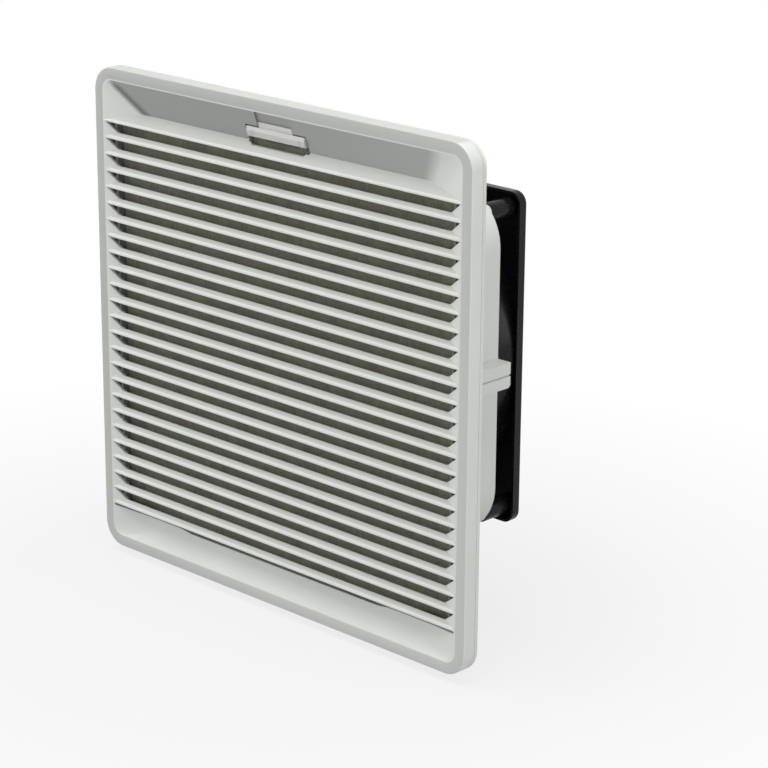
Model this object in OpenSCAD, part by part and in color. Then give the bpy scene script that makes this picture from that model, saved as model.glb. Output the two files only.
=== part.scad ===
// Filter fan for a control enclosure, seen from the front along +Y.
// +X points right, +Y points into the enclosure and +Z points up.
// The origin is the centre of the plane in which the sealing strip meets the enclosure panel.

/* [Front cover] */
// Side of the square front, shared by the cover and the flange behind it
front_w = 325; // [318:1:340]
// Corner radius of the front
front_corner_r = 16; // [12:0.5:20]
// Depth of the cover from its rim to its rear edge
cover_depth = 9.1; // [9:0.1:11]
// Wall of the cover moulding
cover_wall = 1.8; // [1.5:0.1:1.9]
// Rounding of the cover's front edge
cover_edge_r = 0.9; // [0.5:0.1:1.4]
// Width of the flat rim round the dished field
rim_w = 8; // [7:0.5:9]
// Corner radius of the dished field at the rim
dish_corner_r = 8; // [5:0.5:11]
// Depth of the dished field below the rim
dish_depth = 7.2; // [6.6:0.1:7.2]
// Width of the shallow bevel at each side of the dished field
cheek_run = 27; // [24:0.5:30]
// Height of the shaded upper face of the trough above the louvres
trough_h = 20.3; // [19:0.1:22]
// Height from the bottom of the trough down to the first louvre edge
trough_lip_h = 7.4; // [6.5:0.1:8]
// Height of the plain band below the last louvre edge
band_h = 21.1; // [20.5:0.1:24]
// Number of louvre openings
louvre_count = 24; // [18:1:26]
// Height of a louvre's sloping face
louvre_rise = 4.6; // [4:0.1:5.4]
// Depth over which that face slopes back
louvre_run = 2.6; // [2:0.1:3.2]
// Thickness of a louvre
louvre_t = 1.4; // [1:0.1:1.8]
// Height of a louvre's upright front edge
louvre_edge_h = 1.2; // [0.8:0.1:1.6]

/* [Panel and flange] */
// How far the front covers the panel beyond each edge of the cut-out
flange_over = 17; // [16.5:0.5:19]
// Play between the tray and each edge of the cut-out
cutout_play = 1.5; // [1:0.1:2]
// Thickness of the flange
flange_t = 3; // [2.5:0.1:4]
// Gap between the closed cover and the flange
cover_gap = 0.2; // [0.1:0.05:0.4]
// Thickness of the sealing strip
gasket_t = 2; // [1.5:0.1:2.4]
// How far the sealing strip stands out of its groove
gasket_stand = 0.8; // [0.5:0.1:1]
// Width of the sealing strip
gasket_w = 9; // [7:0.5:9.5]
// Distance from the edges of the front to each screw hole of the flange
screw_inset = 10.5; // [10:0.5:11.5]
// Diameter of the flange's screw holes
screw_hole_d = 4.5; // [4:0.1:5]

/* [Filter tray and rear box] */
// Depth of the filter tray behind the panel
tray_depth = 17; // [16:0.5:19]
// Wall of the tray
tray_wall = 2.5; // [2.2:0.1:2.8]
// Thickness of the support grid
grid_t = 3; // [2:0.1:4]
// Width of a bar of the support grid
grid_bar = 2; // [1.6:0.1:3]
// Number of cells along each side of the support grid
grid_cells = 13; // [9:2:15]
// Distance between each side of the tray and the rear box
box_margin = 33.5; // [32:0.5:35]
// Corner radius of the rear box
box_corner_r = 34; // [24:1:36]
// Distance from the panel plane to the rear face of the box
box_rear_y = 72.9; // [70:0.1:75]
// Wall of the rear box
box_wall = 2.5; // [2:0.1:3]
// Height of the guide block on each side of the box
block_h = 16; // [12:0.5:20]
// How far the guide block stands out of the box
block_out = 10.5; // [6:0.5:12]

/* [Fan housing] */
// How far each edge of the fan plate lies inside the rear box
plate_inset = 3.5; // [2:0.5:5]
// Corner radius of the fan plate
plate_corner_r = 8; // [6:0.5:12]
// Distance from the panel plane to the rear face of the fan plate
plate_rear_y = 99.5; // [97:0.1:102]
// Sheet thickness of the fan plate and duct
plate_t = 1.6; // [1.2:0.1:2]
// Depth of the fan plate's bent rim
plate_lip = 7; // [5:0.5:9]
// Width of the plate's flat between the duct's mouth and each edge
flare_margin = 3; // [2.6:0.1:4]
// How much the duct's radius grows from its throat to its mouth
flare_rise = 5.6; // [5:0.1:6.4]
// Radius of the rounded inlet of the duct
inlet_r = 5; // [3:0.5:6]
// Distance from the edges of the fan plate to each corner screw
post_inset = 10.5; // [10:0.5:12]
// Radius of the corner posts
post_r = 5.2; // [4.6:0.1:5.6]

/* [Impeller and motor] */
// Number of impeller blades
blade_count = 7; // [5:1:9]
// Gap between the blade tips and the throat
tip_gap = 1.8; // [1:0.1:3]
// Outer radius of the rotor can
rotor_r = 46; // [44:0.1:48]
// Thickness of the impeller's hub ring
hub_wall = 2.5; // [1.8:0.1:3.5]
// Length of the rotor can
rotor_l = 42; // [40:0.5:44]
// Wall of the rotor can
rotor_wall = 2.5; // [2:0.1:3]
// Radius of the shaft
shaft_r = 4; // [3:0.1:4.5]
// Outer radius of the two bearings
bearing_r = 11; // [9:0.1:12]
// Width of each bearing
bearing_w = 7; // [5:0.5:8]
// Radius of the guard's wires
guard_wire_r = 1.1; // [0.8:0.05:1.4]
// Number of rings in the guard
guard_rings = 7; // [4:1:8]

/* [Hidden] */

$fn = 48;
// Fineness of the rounded outlines that are blended into one another
blend_fn = 32;
// How far every cutting shape runs past what it cuts
overrun = 1;
// How far joined shapes run into one another
bite = 0.4;

light_grey = [0.72, 0.735, 0.715];
shade_grey = [0.66, 0.675, 0.655];
mat_olive = [0.33, 0.33, 0.27];
black_paint = [0.03, 0.03, 0.033];
seal_black = [0.09, 0.09, 0.09];
steel = [0.62, 0.63, 0.64];
copper = [0.65, 0.36, 0.2];
clear_grey = [0.82, 0.83, 0.8, 0.6];

// Planes along the depth, from the panel forward
flange_rear_y = -gasket_stand;
flange_front_y = flange_rear_y - flange_t;
cover_rear_y = flange_front_y - cover_gap;
rim_y = cover_rear_y - cover_depth;

// Front outline
front_half = front_w / 2;
cutout_half = front_half - flange_over;
screw_place = front_half - screw_inset;
dish_half = front_half - rim_w;
trough_z = dish_half - trough_h;
first_edge_z = trough_z - trough_lip_h;
last_edge_z = band_h - dish_half;
louvre_pitch = (first_edge_z - last_edge_z) / louvre_count;

// The dished field's wall curves up from the rim below the louvres
cove_turn = 60;
cove_steps = 4;
cove_h = 19.5;
dish_corner_growth = 6;
dish_skin = 0.02;
gap_tip_inset = 1.4;
gap_foot_inset = 9.5;
window_inset = 10.5;
skirt_t = 1.6;
skirt_inset = 7;
skirt_start = 3.6;
skirt_end_inset = 17;

// Tray and mat
tray_half = cutout_half - cutout_play;
tray_inner = tray_half - tray_wall;
tray_corner_r = 6;
tray_floor_y = tray_depth - tray_wall;
mat_inset = 1;
mat_half = tray_inner - mat_inset;
mat_corner_r = 4;
mat_gap = 0.6;
mat_front_y = max(rim_y + dish_depth + cover_wall, cover_rear_y) + mat_gap;
grid_front_y = tray_floor_y - grid_t;
mat_rear_y = grid_front_y;
clip_notch = 1.9;
clip_notch_side = 1.5;
arm_notch = 3.1;
arm_notch_side = 1;
grid_inset = 1;
grid_half = tray_inner - grid_inset;

// Gasket
gasket_outer_inset = 3.5;
gasket_outer = front_half - gasket_outer_inset;
gasket_inner = gasket_outer - gasket_w;
gasket_corner_r = front_corner_r - gasket_outer_inset;
gasket_front_y = -gasket_t;

// Rear box
box_half = tray_half - box_margin;
box_w = 2 * box_half;
box_edge_r = 2;
box_step = 0.4;
box_step_back = 9;
duct_gap = 1.2;
plate_front_y = plate_rear_y - plate_t;
plate_half = box_half - plate_inset;
plate_w = 2 * plate_half;
post_place = plate_half - post_inset;
pilot_play = 0.05;
pilot_depth = 14;
screw_grip = 13;
gusset_t = 2;
gusset_place = 62;
gusset_run = 26;
gusset_depth = 16;
block_back = 1.9;
block_groove = 1.2;
block_chamfer = 1.6;

// Duct: its flare is an arc that leaves the throat without a kink
throat_front_y = 42;
flare_start_y = 60;
flare_r = plate_half - flare_margin;
throat_r = flare_r - flare_rise;
flare_l = plate_front_y - flare_start_y;
flare_arc_r = (flare_l * flare_l + flare_rise * flare_rise) / (2 * flare_rise);
function duct_inner(y) = throat_r + flare_arc_r
    - sqrt(flare_arc_r * flare_arc_r - pow(max(y - flare_start_y, 0), 2));
duct_hole_r = duct_inner(box_rear_y) + plate_t + duct_gap;
plate_edge_r = 2;
// Fineness of the flare's long arc
flare_fn = 720;

// Cover hinge at the lower edge
hinge_wall_r = 2.2;
hinge_gap = 0.2;
hinge_y = flange_front_y - hinge_gap - hinge_wall_r;
hinge_z = hinge_wall_r - front_half;
hinge_inset = 52.5;
hinge_x = front_half - hinge_inset;
hinge_pin_r = 1;
hinge_play = 0.05;
lug_w = 8;
lug_r = 1.9;
lug_gap = 0.4;
boss_w = 4;
boss_r = 2;
notch_r = 3.1;

// Latch in the trough
latch_fall = 9.3;
latch_z = dish_half - latch_fall;
latch_d = 7.2;
latch_y = rim_y + latch_d;
latch_pin_r = 0.9;
latch_play = 0.05;
latch_barrel_r = 1.3;
latch_boss_r = 1.9;
latch_boss_w = 3;
latch_half_w = 25;
latch_drop = 8.2;
latch_top = 1.4;
latch_end_gap = 1.2;
latch_face_out = 1.4;
latch_t = 2.4;
tongue_half_w = 14.4;
tongue_h = 3.8;
tongue_t = 0.5;
tongue_sink = 0.3;
recess_half_w = 15.2;
recess_depth = 1.5;
recess_h = 8;
aperture_top = 0.6;
aperture_foot_half = 22.5;
aperture_foot = 2.2;
arm_half_gap = 9;
arm_w = 6;
arm_t = 1.4;
arm_top_gap = 1.2;
arm_barb = 0.4;
arm_barb_l = 1.1;
arm_reach = 4.7;
catch_h = 0.55;
catch_l = 1.8;
catch_half_w = 17;
catch_front = 1.4;

// Panel clips
clip_w = 23;
clip_side_gap = 0.5;
clip_axis_back = 3.6;
clip_axis_y = tray_depth - clip_axis_back;
clip_axis_x = tray_half - tray_wall / 2;
clip_pin_r = 0.8;
clip_play = 0.05;
clip_barrel_r = 1.5;
clip_ear_w = 3.5;
clip_ear_in = 0.8;
clip_ear_l = 4;
clip_t = 1.6;
clip_front_y = 2.4;
clip_nose = 0.7;
clip_barb_out = 3.9;
clip_ramp_end_y = 10.6;
clip_window_front_y = 1.5;
clip_window_back = 2;

// Impeller and motor, front to rear
rotor_front_y = 42;
rotor_rear_y = rotor_front_y + rotor_l;
hub_r = rotor_r + hub_wall;
hub_inset = 2;
hub_front_y = rotor_front_y + hub_inset;
hub_rear_y = rotor_rear_y - hub_inset;
hub_edge_r = 1.5;
blade_root_sink = 1.6;
blade_root_r = hub_r - blade_root_sink;
blade_tip_r = throat_r - tip_gap;
blade_stations = 8;
blade_points = 7;
blade_root_chord = 44;
blade_tip_chord = 62;
blade_root_pitch = 50;
blade_tip_pitch = 24;
blade_root_t = 3.4;
blade_tip_t = 2;
blade_sweep = 24;
blade_camber_share = 0.07;
blade_fullness_share = 2.6;
blade_edge_share = 0.12;
rotor_boss_r = 9;
rotor_boss_l = 5;
rotor_dimple_r = 14;
rotor_dimple = 1.2;
air_gap = 0.8;
stator_r = rotor_r - rotor_wall - air_gap;
stator_l = 24;
stator_set_back = 1;
stator_mid_y = rotor_front_y + rotor_l / 2 + stator_set_back;
tube_wall = 2.5;
tube_r = bearing_r + tube_wall;
tube_set_back = 9;
tube_front_y = rotor_front_y + tube_set_back;
slot_count = 12;
slot_r = 3.2;
slot_neck = 1.6;
slot_inset = 5.5;
winding_l = 4;
winding_in = 2;
winding_out = 3;
bearing_step = 1.5;
front_bearing_y = tube_front_y + bearing_step;
rear_bearing_y = rotor_rear_y - bearing_w;
bearing_play = 0.03;
bearing_ring_t = 1.8;
shaft_end = 3.5;
shaft_rear_y = rotor_rear_y + shaft_end;
shaft_chamfer = 0.6;
ring_t = 1;
ring_out = 2.2;
ring_gap = 0.6;
base_gap = 2;
base_front_y = rotor_rear_y + base_gap;
base_t = 5;
base_r = 44;
base_neck_r = 37;
base_cavity_r = 30;
base_floor = 3;

// Guard
guard_plane_y = plate_rear_y + guard_wire_r;
spoke_r = 1.3;
spoke_y = guard_plane_y + guard_wire_r + spoke_r - bite;
guard_inner_r = 52;
guard_gap = 4;
guard_outer_r = flare_r - guard_gap;
guard_disc_r = 40;
spoke_lap = 2;
spoke_end = 1;
guard_disc_t = 1.6;
guard_disc_y = spoke_y - guard_disc_t / 2;
guard_screw_out = 8.4;
guard_screw_place = (flare_r + guard_screw_out) / sqrt(2);
eyelet_r = 5;
eyelet_t = 1.6;
spoke_count = 8;
motor_screw_pcd = 62;
motor_screw_turn = 22.5;
motor_screw_count = 4;
m4_r = 2;
m4_play = 0.25;
m4_head_r = 3.8;
m4_head_h = 2.4;
m4_slot_w = 1;
m4_slot_h = 1;
nut_h = 3.2;
nut_across = 7;
nut_end = 0.8;

// Terminal block behind the tray, below the box
terminal_w = 42;
terminal_h = 22;
terminal_l = 20;
terminal_wall = 1.5;
terminal_z = -(box_half + tray_half) / 2;
terminal_poles = 3;
terminal_pitch = 12;
terminal_screw_r = 2.6;
terminal_hole_r = 3;
terminal_well = 9;
terminal_entry_w = 7;
terminal_entry_h = 6;
terminal_entry_l = 10;

// Drawing planes
module along_y(from_y, to_y) {
    translate([0, to_y, 0])
        rotate([90, 0, 0])
            linear_extrude(height = to_y - from_y)
                children();
}

module along_x(from_x, to_x) {
    translate([from_x, 0, 0])
        rotate([90, 0, 90])
            linear_extrude(height = to_x - from_x)
                children();
}

module around_y() {
    rotate([-90, 0, 0])
        rotate_extrude()
            children();
}

module rod_y(r, from_y, to_y) {
    translate([0, from_y, 0])
        rotate([-90, 0, 0])
            cylinder(r = r, h = to_y - from_y);
}

module rod_x(r, from_x, to_x) {
    translate([from_x, 0, 0])
        rotate([0, 90, 0])
            cylinder(r = r, h = to_x - from_x);
}

module at_corners(place) {
    for (sx = [-1, 1], sz = [-1, 1])
        translate([sx * place, 0, sz * place])
            children();
}

module rounded_rect(w, h, r) {
    square([w, h - 2 * r], center = true);
    square([w - 2 * r, h], center = true);
    for (sx = [-1, 1], sy = [-1, 1])
        translate([sx * (w / 2 - r), sy * (h / 2 - r)])
            circle(r);
}

// Square slab with its front face at y = 0 and that face's edge rounded
module edge_slab(half, corner_r, depth, edge_r) {
    flat = half - corner_r;
    for (turn = [0, 90])
        rotate([0, turn, 0])
            along_x(-flat, flat)
                edge_section(half, depth, edge_r);
    at_corners(flat)
        around_y()
            intersection() {
                rotate(90)
                    mirror([0, 1])
                        edge_section(corner_r, depth, edge_r);
                square([corner_r, depth]);
            }
}

module edge_section(half, depth, edge_r) {
    translate([edge_r, -half])
        square([depth - edge_r, 2 * half]);
    translate([0, edge_r - half])
        square([depth, 2 * (half - edge_r)]);
    for (side = [-1, 1])
        translate([edge_r, side * (half - edge_r)])
            circle(edge_r);
}

// Front cover

// Share of the dish depth and of the cove height that each level of the dish reaches
function cove_depth_share(step) = sin(cove_turn * step / cove_steps) / sin(cove_turn);
function cove_height_share(step) = (1 - cos(cove_turn * step / cove_steps)) / (1 - cos(cove_turn));

module dish_outline(step, grow) {
    depth_share = cove_depth_share(step);
    side = dish_half - cheek_run * depth_share + grow;
    top = dish_half - trough_h * depth_share + grow;
    foot = cove_h * cove_height_share(step) - dish_half - grow;
    translate([0, (top + foot) / 2])
        rounded_rect(2 * side, top - foot, dish_corner_r + dish_corner_growth * depth_share,
                     $fn = blend_fn);
}

module dish(grow, back, start) {
    hull() {
        along_y(rim_y + start, rim_y + start + dish_skin)
            dish_outline(0, grow);
        for (step = [0 : cove_steps]) {
            level_y = rim_y + dish_depth * cove_depth_share(step) + back;
            along_y(level_y - dish_skin, level_y)
                dish_outline(step, grow);
        }
    }
}

function louvre_edge(index) = first_edge_z - index * louvre_pitch;

// Section of one louvre in depth and height, its lower front edge at the given height
module louvre_section(z) {
    slope = norm([louvre_run, louvre_rise - louvre_edge_h]);
    shift_d = louvre_t * (louvre_rise - louvre_edge_h) / slope;
    shift_z = louvre_t * louvre_run / slope;
    polygon([[rim_y, z],
             [rim_y, z + louvre_edge_h],
             [rim_y + louvre_run, z + louvre_rise],
             [rim_y + louvre_run + shift_d, z + louvre_rise - shift_z],
             [rim_y + shift_d, z]]);
}

module louvres() {
    along_x(-dish_half - bite, dish_half + bite)
        for (index = [1 : louvre_count])
            louvre_section(louvre_edge(index));
}

// Lower face of the trough, which ends in the first louvre edge
module trough_face() {
    along_x(-dish_half, dish_half)
        polygon([[rim_y, first_edge_z],
                 [rim_y, first_edge_z + louvre_edge_h],
                 [rim_y + dish_depth, trough_z],
                 [rim_y + dish_depth + cover_wall, trough_z],
                 [rim_y + dish_depth + cover_wall, trough_z - louvre_edge_h],
                 [rim_y + cover_wall, first_edge_z]]);
}

module louvre_window() {
    foot = last_edge_z + louvre_rise;
    along_y(rim_y - overrun, flange_front_y + overrun)
        translate([0, (foot + trough_z) / 2])
            square([2 * (dish_half - window_inset), trough_z - foot], center = true);
}

// Each opening is widest under the louvre above it
module louvre_gaps() {
    tip = dish_half - gap_tip_inset;
    foot = dish_half - gap_foot_inset;
    along_y(rim_y - overrun, cover_rear_y + overrun)
        for (index = [1 : louvre_count])
            polygon([[-tip, louvre_edge(index - 1)],
                     [tip, louvre_edge(index - 1)],
                     [foot, louvre_edge(index) + louvre_rise],
                     [-foot, louvre_edge(index) + louvre_rise]]);
}

module cover_skirts() {
    for (side = [-1, 1])
        translate([side * (dish_half - skirt_inset - skirt_t / 2), (rim_y + skirt_start + cover_rear_y) / 2, 0])
            cube([skirt_t, cover_rear_y - rim_y - skirt_start, 2 * (dish_half - skirt_end_inset)],
                 center = true);
}

// Depth of the trough's upper face below the rim at a given height
function trough_depth(z) = dish_depth * (dish_half - z) / trough_h;

module latch_aperture() {
    top = latch_z - aperture_top;
    foot = trough_z - aperture_foot;
    top_half = latch_half_w + latch_end_gap;
    along_y(rim_y - overrun, latch_y)
        polygon([[-top_half, top],
                 [top_half, top],
                 [top_half, trough_z + aperture_foot],
                 [aperture_foot_half, foot],
                 [-aperture_foot_half, foot],
                 [-top_half, trough_z + aperture_foot]]);
    along_y(rim_y + dish_depth - overrun, cover_rear_y + overrun)
        translate([0, (top + foot) / 2])
            square([2 * top_half, top - foot], center = true);
}

// Shallow pocket above the latch, sunk evenly below the trough's upper face
module tongue_recess() {
    foot = latch_z - aperture_top - overrun;
    top = dish_half - bite;
    along_x(-recess_half_w, recess_half_w)
        polygon([[rim_y - overrun, foot],
                 [rim_y + trough_depth(foot) + recess_depth, foot],
                 [rim_y + trough_depth(top) + recess_depth, top],
                 [rim_y - overrun, top]]);
}

module latch_bosses() {
    near = latch_half_w + latch_end_gap;
    for (side = [-1, 1])
        translate([side * (near + latch_boss_w / 2), 0, 0]) {
            translate([0, latch_y, latch_z])
                rod_x(latch_boss_r, -latch_boss_w / 2, latch_boss_w / 2);
            translate([-latch_boss_w / 2, rim_y + trough_depth(latch_z) + bite, latch_z - latch_boss_r])
                cube([latch_boss_w, latch_d - trough_depth(latch_z) - bite, 2 * latch_boss_r]);
        }
}

module hinge_bosses() {
    for (side = [-1, 1], end = [-1, 1])
        translate([side * hinge_x + end * (lug_w / 2 + lug_gap + boss_w / 2), hinge_y, hinge_z]) {
            rod_x(boss_r, -boss_w / 2, boss_w / 2);
            translate([-boss_w / 2, -boss_r, -hinge_wall_r + bite])
                cube([boss_w, 2 * boss_r, hinge_wall_r - bite]);
        }
}

// Room for the frame's hinge lugs in the cover's lower edge
module hinge_notches() {
    for (side = [-1, 1])
        translate([side * hinge_x, 0, 0])
            along_x(-lug_w / 2 - lug_gap, lug_w / 2 + lug_gap) {
                translate([hinge_y, hinge_z])
                    circle(notch_r);
                translate([hinge_y, hinge_z - notch_r])
                    square([cover_rear_y + overrun - hinge_y, 2 * notch_r]);
            }
}

// The lower rear edge is rounded about the hinge, so that it clears the flange as it turns
module hinge_relief() {
    along_x(-front_half - overrun, front_half + overrun)
        difference() {
            translate([hinge_y, hinge_z - hinge_wall_r - overrun])
                square([cover_rear_y + overrun - hinge_y, hinge_wall_r + overrun]);
            translate([hinge_y, hinge_z])
                circle(hinge_wall_r);
        }
}

module cover_shell() {
    difference() {
        translate([0, rim_y, 0])
            edge_slab(front_half, front_corner_r, cover_depth, cover_edge_r);
        along_y(rim_y + cover_wall, cover_rear_y + overrun)
            rounded_rect(front_w - 2 * cover_wall, front_w - 2 * cover_wall, front_corner_r - cover_wall);
    }
}

module front_cover() {
    color(light_grey)
        difference() {
            union() {
                difference() {
                    union() {
                        cover_shell();
                        dish(cover_wall / 2, cover_wall, bite);
                    }
                    dish(0, 0, -overrun);
                    louvre_window();
                    louvre_gaps();
                }
                cover_skirts();
                louvres();
                trough_face();
                latch_bosses();
                hinge_bosses();
            }
            latch_aperture();
            tongue_recess();
            hinge_notches();
            hinge_relief();
            for (side = [-1, 1]) {
                pin_reach = lug_w / 2 + lug_gap + boss_w;
                translate([side * hinge_x, hinge_y, hinge_z])
                    rod_x(hinge_pin_r, -pin_reach, pin_reach);
            }
            translate([0, latch_y, latch_z])
                rod_x(latch_pin_r + latch_play, -latch_half_w - latch_end_gap - latch_boss_w,
                      latch_half_w + latch_end_gap + latch_boss_w);
        }
}

module hinge_pins() {
    pin_reach = lug_w / 2 + lug_gap + boss_w;
    color(steel)
        for (side = [-1, 1])
            translate([side * hinge_x, hinge_y, hinge_z])
                rod_x(hinge_pin_r, -pin_reach, pin_reach);
}

// Clear latch bar with its tongue, snap arms and pivot pins
module latch() {
    foot = latch_z - latch_drop;
    top = latch_z - latch_top;
    face_foot = rim_y + trough_depth(foot) - latch_face_out;
    color(clear_grey) {
        along_x(-latch_half_w, latch_half_w) {
            polygon([[face_foot, foot],
                     [rim_y + trough_depth(top), top],
                     [latch_y - latch_barrel_r, top],
                     [latch_y - latch_barrel_r, latch_z],
                     [latch_y + latch_barrel_r, latch_z],
                     [latch_y + latch_barrel_r, top],
                     [face_foot + latch_t, foot]]);
            translate([latch_y, latch_z])
                circle(latch_barrel_r);
        }
        along_x(-tongue_half_w, tongue_half_w) {
            tongue_top = top + tongue_h;
            tongue_foot = top - tongue_t;
            polygon([[rim_y + trough_depth(tongue_foot) + tongue_sink, tongue_foot],
                     [rim_y + trough_depth(tongue_top) + tongue_sink, tongue_top],
                     [rim_y + trough_depth(tongue_top) + tongue_sink + tongue_t, tongue_top],
                     [rim_y + trough_depth(tongue_foot) + tongue_sink + tongue_t, tongue_foot]]);
        }
        translate([0, latch_y, latch_z])
            rod_x(latch_pin_r, -latch_half_w - latch_end_gap - latch_boss_w,
                  latch_half_w + latch_end_gap + latch_boss_w);
        for (side = [-1, 1])
            translate([side * (arm_half_gap + arm_w / 2), 0, 0])
                latch_arm();
    }
}

module latch_arm() {
    arm_top = tray_inner - arm_top_gap;
    arm_end = flange_front_y + arm_reach;
    along_x(-arm_w / 2, arm_w / 2)
        polygon([[latch_y, arm_top - arm_t],
                 [arm_end, arm_top - arm_t],
                 [arm_end, arm_top],
                 [arm_end - arm_barb_l / 2, arm_top + arm_barb],
                 [arm_end - arm_barb_l, arm_top + arm_barb],
                 [arm_end - arm_barb_l, arm_top],
                 [latch_y, arm_top]]);
}

// Mounting frame: flange, filter tray, rear box and fan posts in one moulding
module mounting_frame() {
    color(light_grey) {
        difference() {
            union() {
                difference() {
                    union() {
                        flange();
                        filter_tray();
                        rear_box();
                    }
                    frame_openings();
                }
                clip_ears();
            }
            for (turn = [0 : 90 : 270])
                rotate([0, turn, 0])
                    clip_window();
        }
        fan_posts();
        guide_blocks();
        frame_gussets();
        hinge_lugs();
        latch_catch();
    }
}

module flange() {
    difference() {
        mirror([0, 1, 0])
            translate([0, -flange_rear_y, 0])
                edge_slab(front_half, front_corner_r, flange_t, cover_edge_r);
        along_y(gasket_front_y, flange_rear_y + overrun)
            difference() {
                rounded_rect(2 * gasket_outer, 2 * gasket_outer, gasket_corner_r);
                rounded_rect(2 * gasket_inner, 2 * gasket_inner, tray_corner_r);
            }
        at_corners(screw_place)
            rod_y(screw_hole_d / 2, flange_front_y - overrun, flange_rear_y + overrun);
    }
}

module filter_tray() {
    along_y(flange_front_y + bite, tray_depth)
        rounded_rect(2 * tray_half, 2 * tray_half, tray_corner_r);
}

module rear_box() {
    mirror([0, 1, 0])
        translate([0, -box_rear_y, 0])
            edge_slab(box_half - box_step, box_corner_r - box_step, box_rear_y - tray_floor_y, box_edge_r);
    along_y(tray_floor_y, box_rear_y - box_step_back)
        rounded_rect(box_w, box_w, box_corner_r);
}

// Everything cut through the frame from front to rear: tray, box and fan hole
module frame_openings() {
    along_y(flange_front_y - overrun, tray_floor_y)
        rounded_rect(2 * tray_inner, 2 * tray_inner, tray_corner_r - tray_wall + bite);
    along_y(tray_floor_y - overrun, box_rear_y - box_wall)
        rounded_rect(box_w - 2 * box_wall, box_w - 2 * box_wall, box_corner_r - box_wall);
    rod_y(duct_hole_r, box_rear_y - box_wall - overrun, box_rear_y + overrun);
}

// Window in the tray wall for a clip, with the bores for the ends of its pin
module clip_window() {
    back_y = tray_depth - clip_window_back;
    ear_in = tray_inner - clip_ear_in - overrun;
    translate([ear_in, clip_window_front_y, -clip_w / 2 - clip_side_gap])
        cube([tray_half + overrun - ear_in, back_y - clip_window_front_y, clip_w + 2 * clip_side_gap]);
    translate([clip_axis_x, clip_axis_y, -clip_w / 2 - clip_ear_w])
        cylinder(r = clip_pin_r, h = clip_w + 2 * clip_ear_w);
}

// The wall is thickened inward where it holds the ends of a clip's pin
module clip_ears() {
    for (turn = [0 : 90 : 270], side = [-1, 1])
        rotate([0, turn, 0])
            translate([tray_inner - clip_ear_in, clip_axis_y - clip_ear_l / 2,
                       side * (clip_w / 2 + clip_side_gap + clip_ear_w / 2) - clip_ear_w / 2])
                cube([clip_ear_in + tray_wall / 2, clip_ear_l, clip_ear_w]);
}

module fan_posts() {
    difference() {
        at_corners(post_place)
            rod_y(post_r, box_rear_y - box_wall, plate_front_y);
        at_corners(post_place)
            rod_y(m4_r + pilot_play, plate_front_y - pilot_depth, plate_front_y + overrun);
    }
}

module guide_blocks() {
    rear_y = box_rear_y - block_back;
    for (turn = [0, 180])
        rotate([0, turn, 0])
            difference() {
                along_x(box_half - box_wall / 2, box_half + block_out)
                    polygon([[tray_floor_y, -block_h / 2],
                             [rear_y - block_chamfer, -block_h / 2],
                             [rear_y, block_chamfer - block_h / 2],
                             [rear_y, block_h / 2],
                             [tray_floor_y, block_h / 2]]);
                translate([box_half + block_out - block_groove, tray_depth, -block_groove / 2])
                    cube([block_groove + overrun, rear_y + overrun - tray_depth, block_groove]);
            }
}

module frame_gussets() {
    for (turn = [0 : 90 : 270], side = [-1, 1])
        rotate([0, turn, 0])
            translate([0, 0, side * gusset_place - gusset_t / 2])
                translate([box_half - box_wall / 2, tray_depth - bite, 0])
                    linear_extrude(height = gusset_t)
                        polygon([[0, 0],
                                 [gusset_run, 0],
                                 [gusset_run, bite],
                                 [box_wall, gusset_depth],
                                 [0, gusset_depth]]);
}

module hinge_lugs() {
    for (side = [-1, 1])
        translate([side * hinge_x, 0, 0])
            difference() {
                along_x(-lug_w / 2, lug_w / 2) {
                    translate([hinge_y, hinge_z])
                        circle(lug_r);
                    translate([hinge_y, hinge_z - lug_r])
                        square([flange_front_y + bite - hinge_y, 2 * lug_r]);
                }
                translate([0, hinge_y, hinge_z])
                    rod_x(hinge_pin_r + hinge_play, -lug_w, lug_w);
            }
}

module latch_catch() {
    catch_y = flange_front_y + catch_front;
    translate([-catch_half_w, catch_y, tray_inner - catch_h])
        cube([2 * catch_half_w, catch_l, catch_h + bite]);
}

module panel_gasket() {
    color(seal_black)
        along_y(gasket_front_y, 0)
            difference() {
                rounded_rect(2 * gasket_outer, 2 * gasket_outer, gasket_corner_r);
                rounded_rect(2 * gasket_inner, 2 * gasket_inner, tray_corner_r);
                for (sx = [-1, 1], sz = [-1, 1])
                    translate([sx * screw_place, sz * screw_place])
                        circle(screw_hole_d / 2);
            }
}

// Support grid: a frame on the tray floor with square cells over the box's opening
module filter_grid() {
    cell_pitch = (box_w - 2 * box_wall) / grid_cells;
    color(shade_grey)
        along_y(grid_front_y, tray_floor_y)
            difference() {
                rounded_rect(2 * grid_half, 2 * grid_half, mat_corner_r);
                for (column = [0 : grid_cells - 1], row = [0 : grid_cells - 1])
                    translate([(column - (grid_cells - 1) / 2) * cell_pitch,
                               (row - (grid_cells - 1) / 2) * cell_pitch])
                        square(cell_pitch - grid_bar, center = true);
            }
}

// Filter mat, notched to clear the four clips and the latch's arms
module filter_mat() {
    clip_side = clip_w / 2 + clip_notch_side;
    arm_side = arm_half_gap + arm_w + arm_notch_side;
    color(mat_olive)
        along_y(mat_front_y, mat_rear_y)
            difference() {
                rounded_rect(2 * mat_half, 2 * mat_half, mat_corner_r);
                for (turn = [0 : 90 : 270])
                    rotate(turn)
                        translate([mat_half - clip_notch, -clip_side])
                            square([clip_notch + overrun, 2 * clip_side]);
                translate([-arm_side, mat_half - arm_notch])
                    square([2 * arm_side, arm_notch + overrun]);
            }
}

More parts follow.
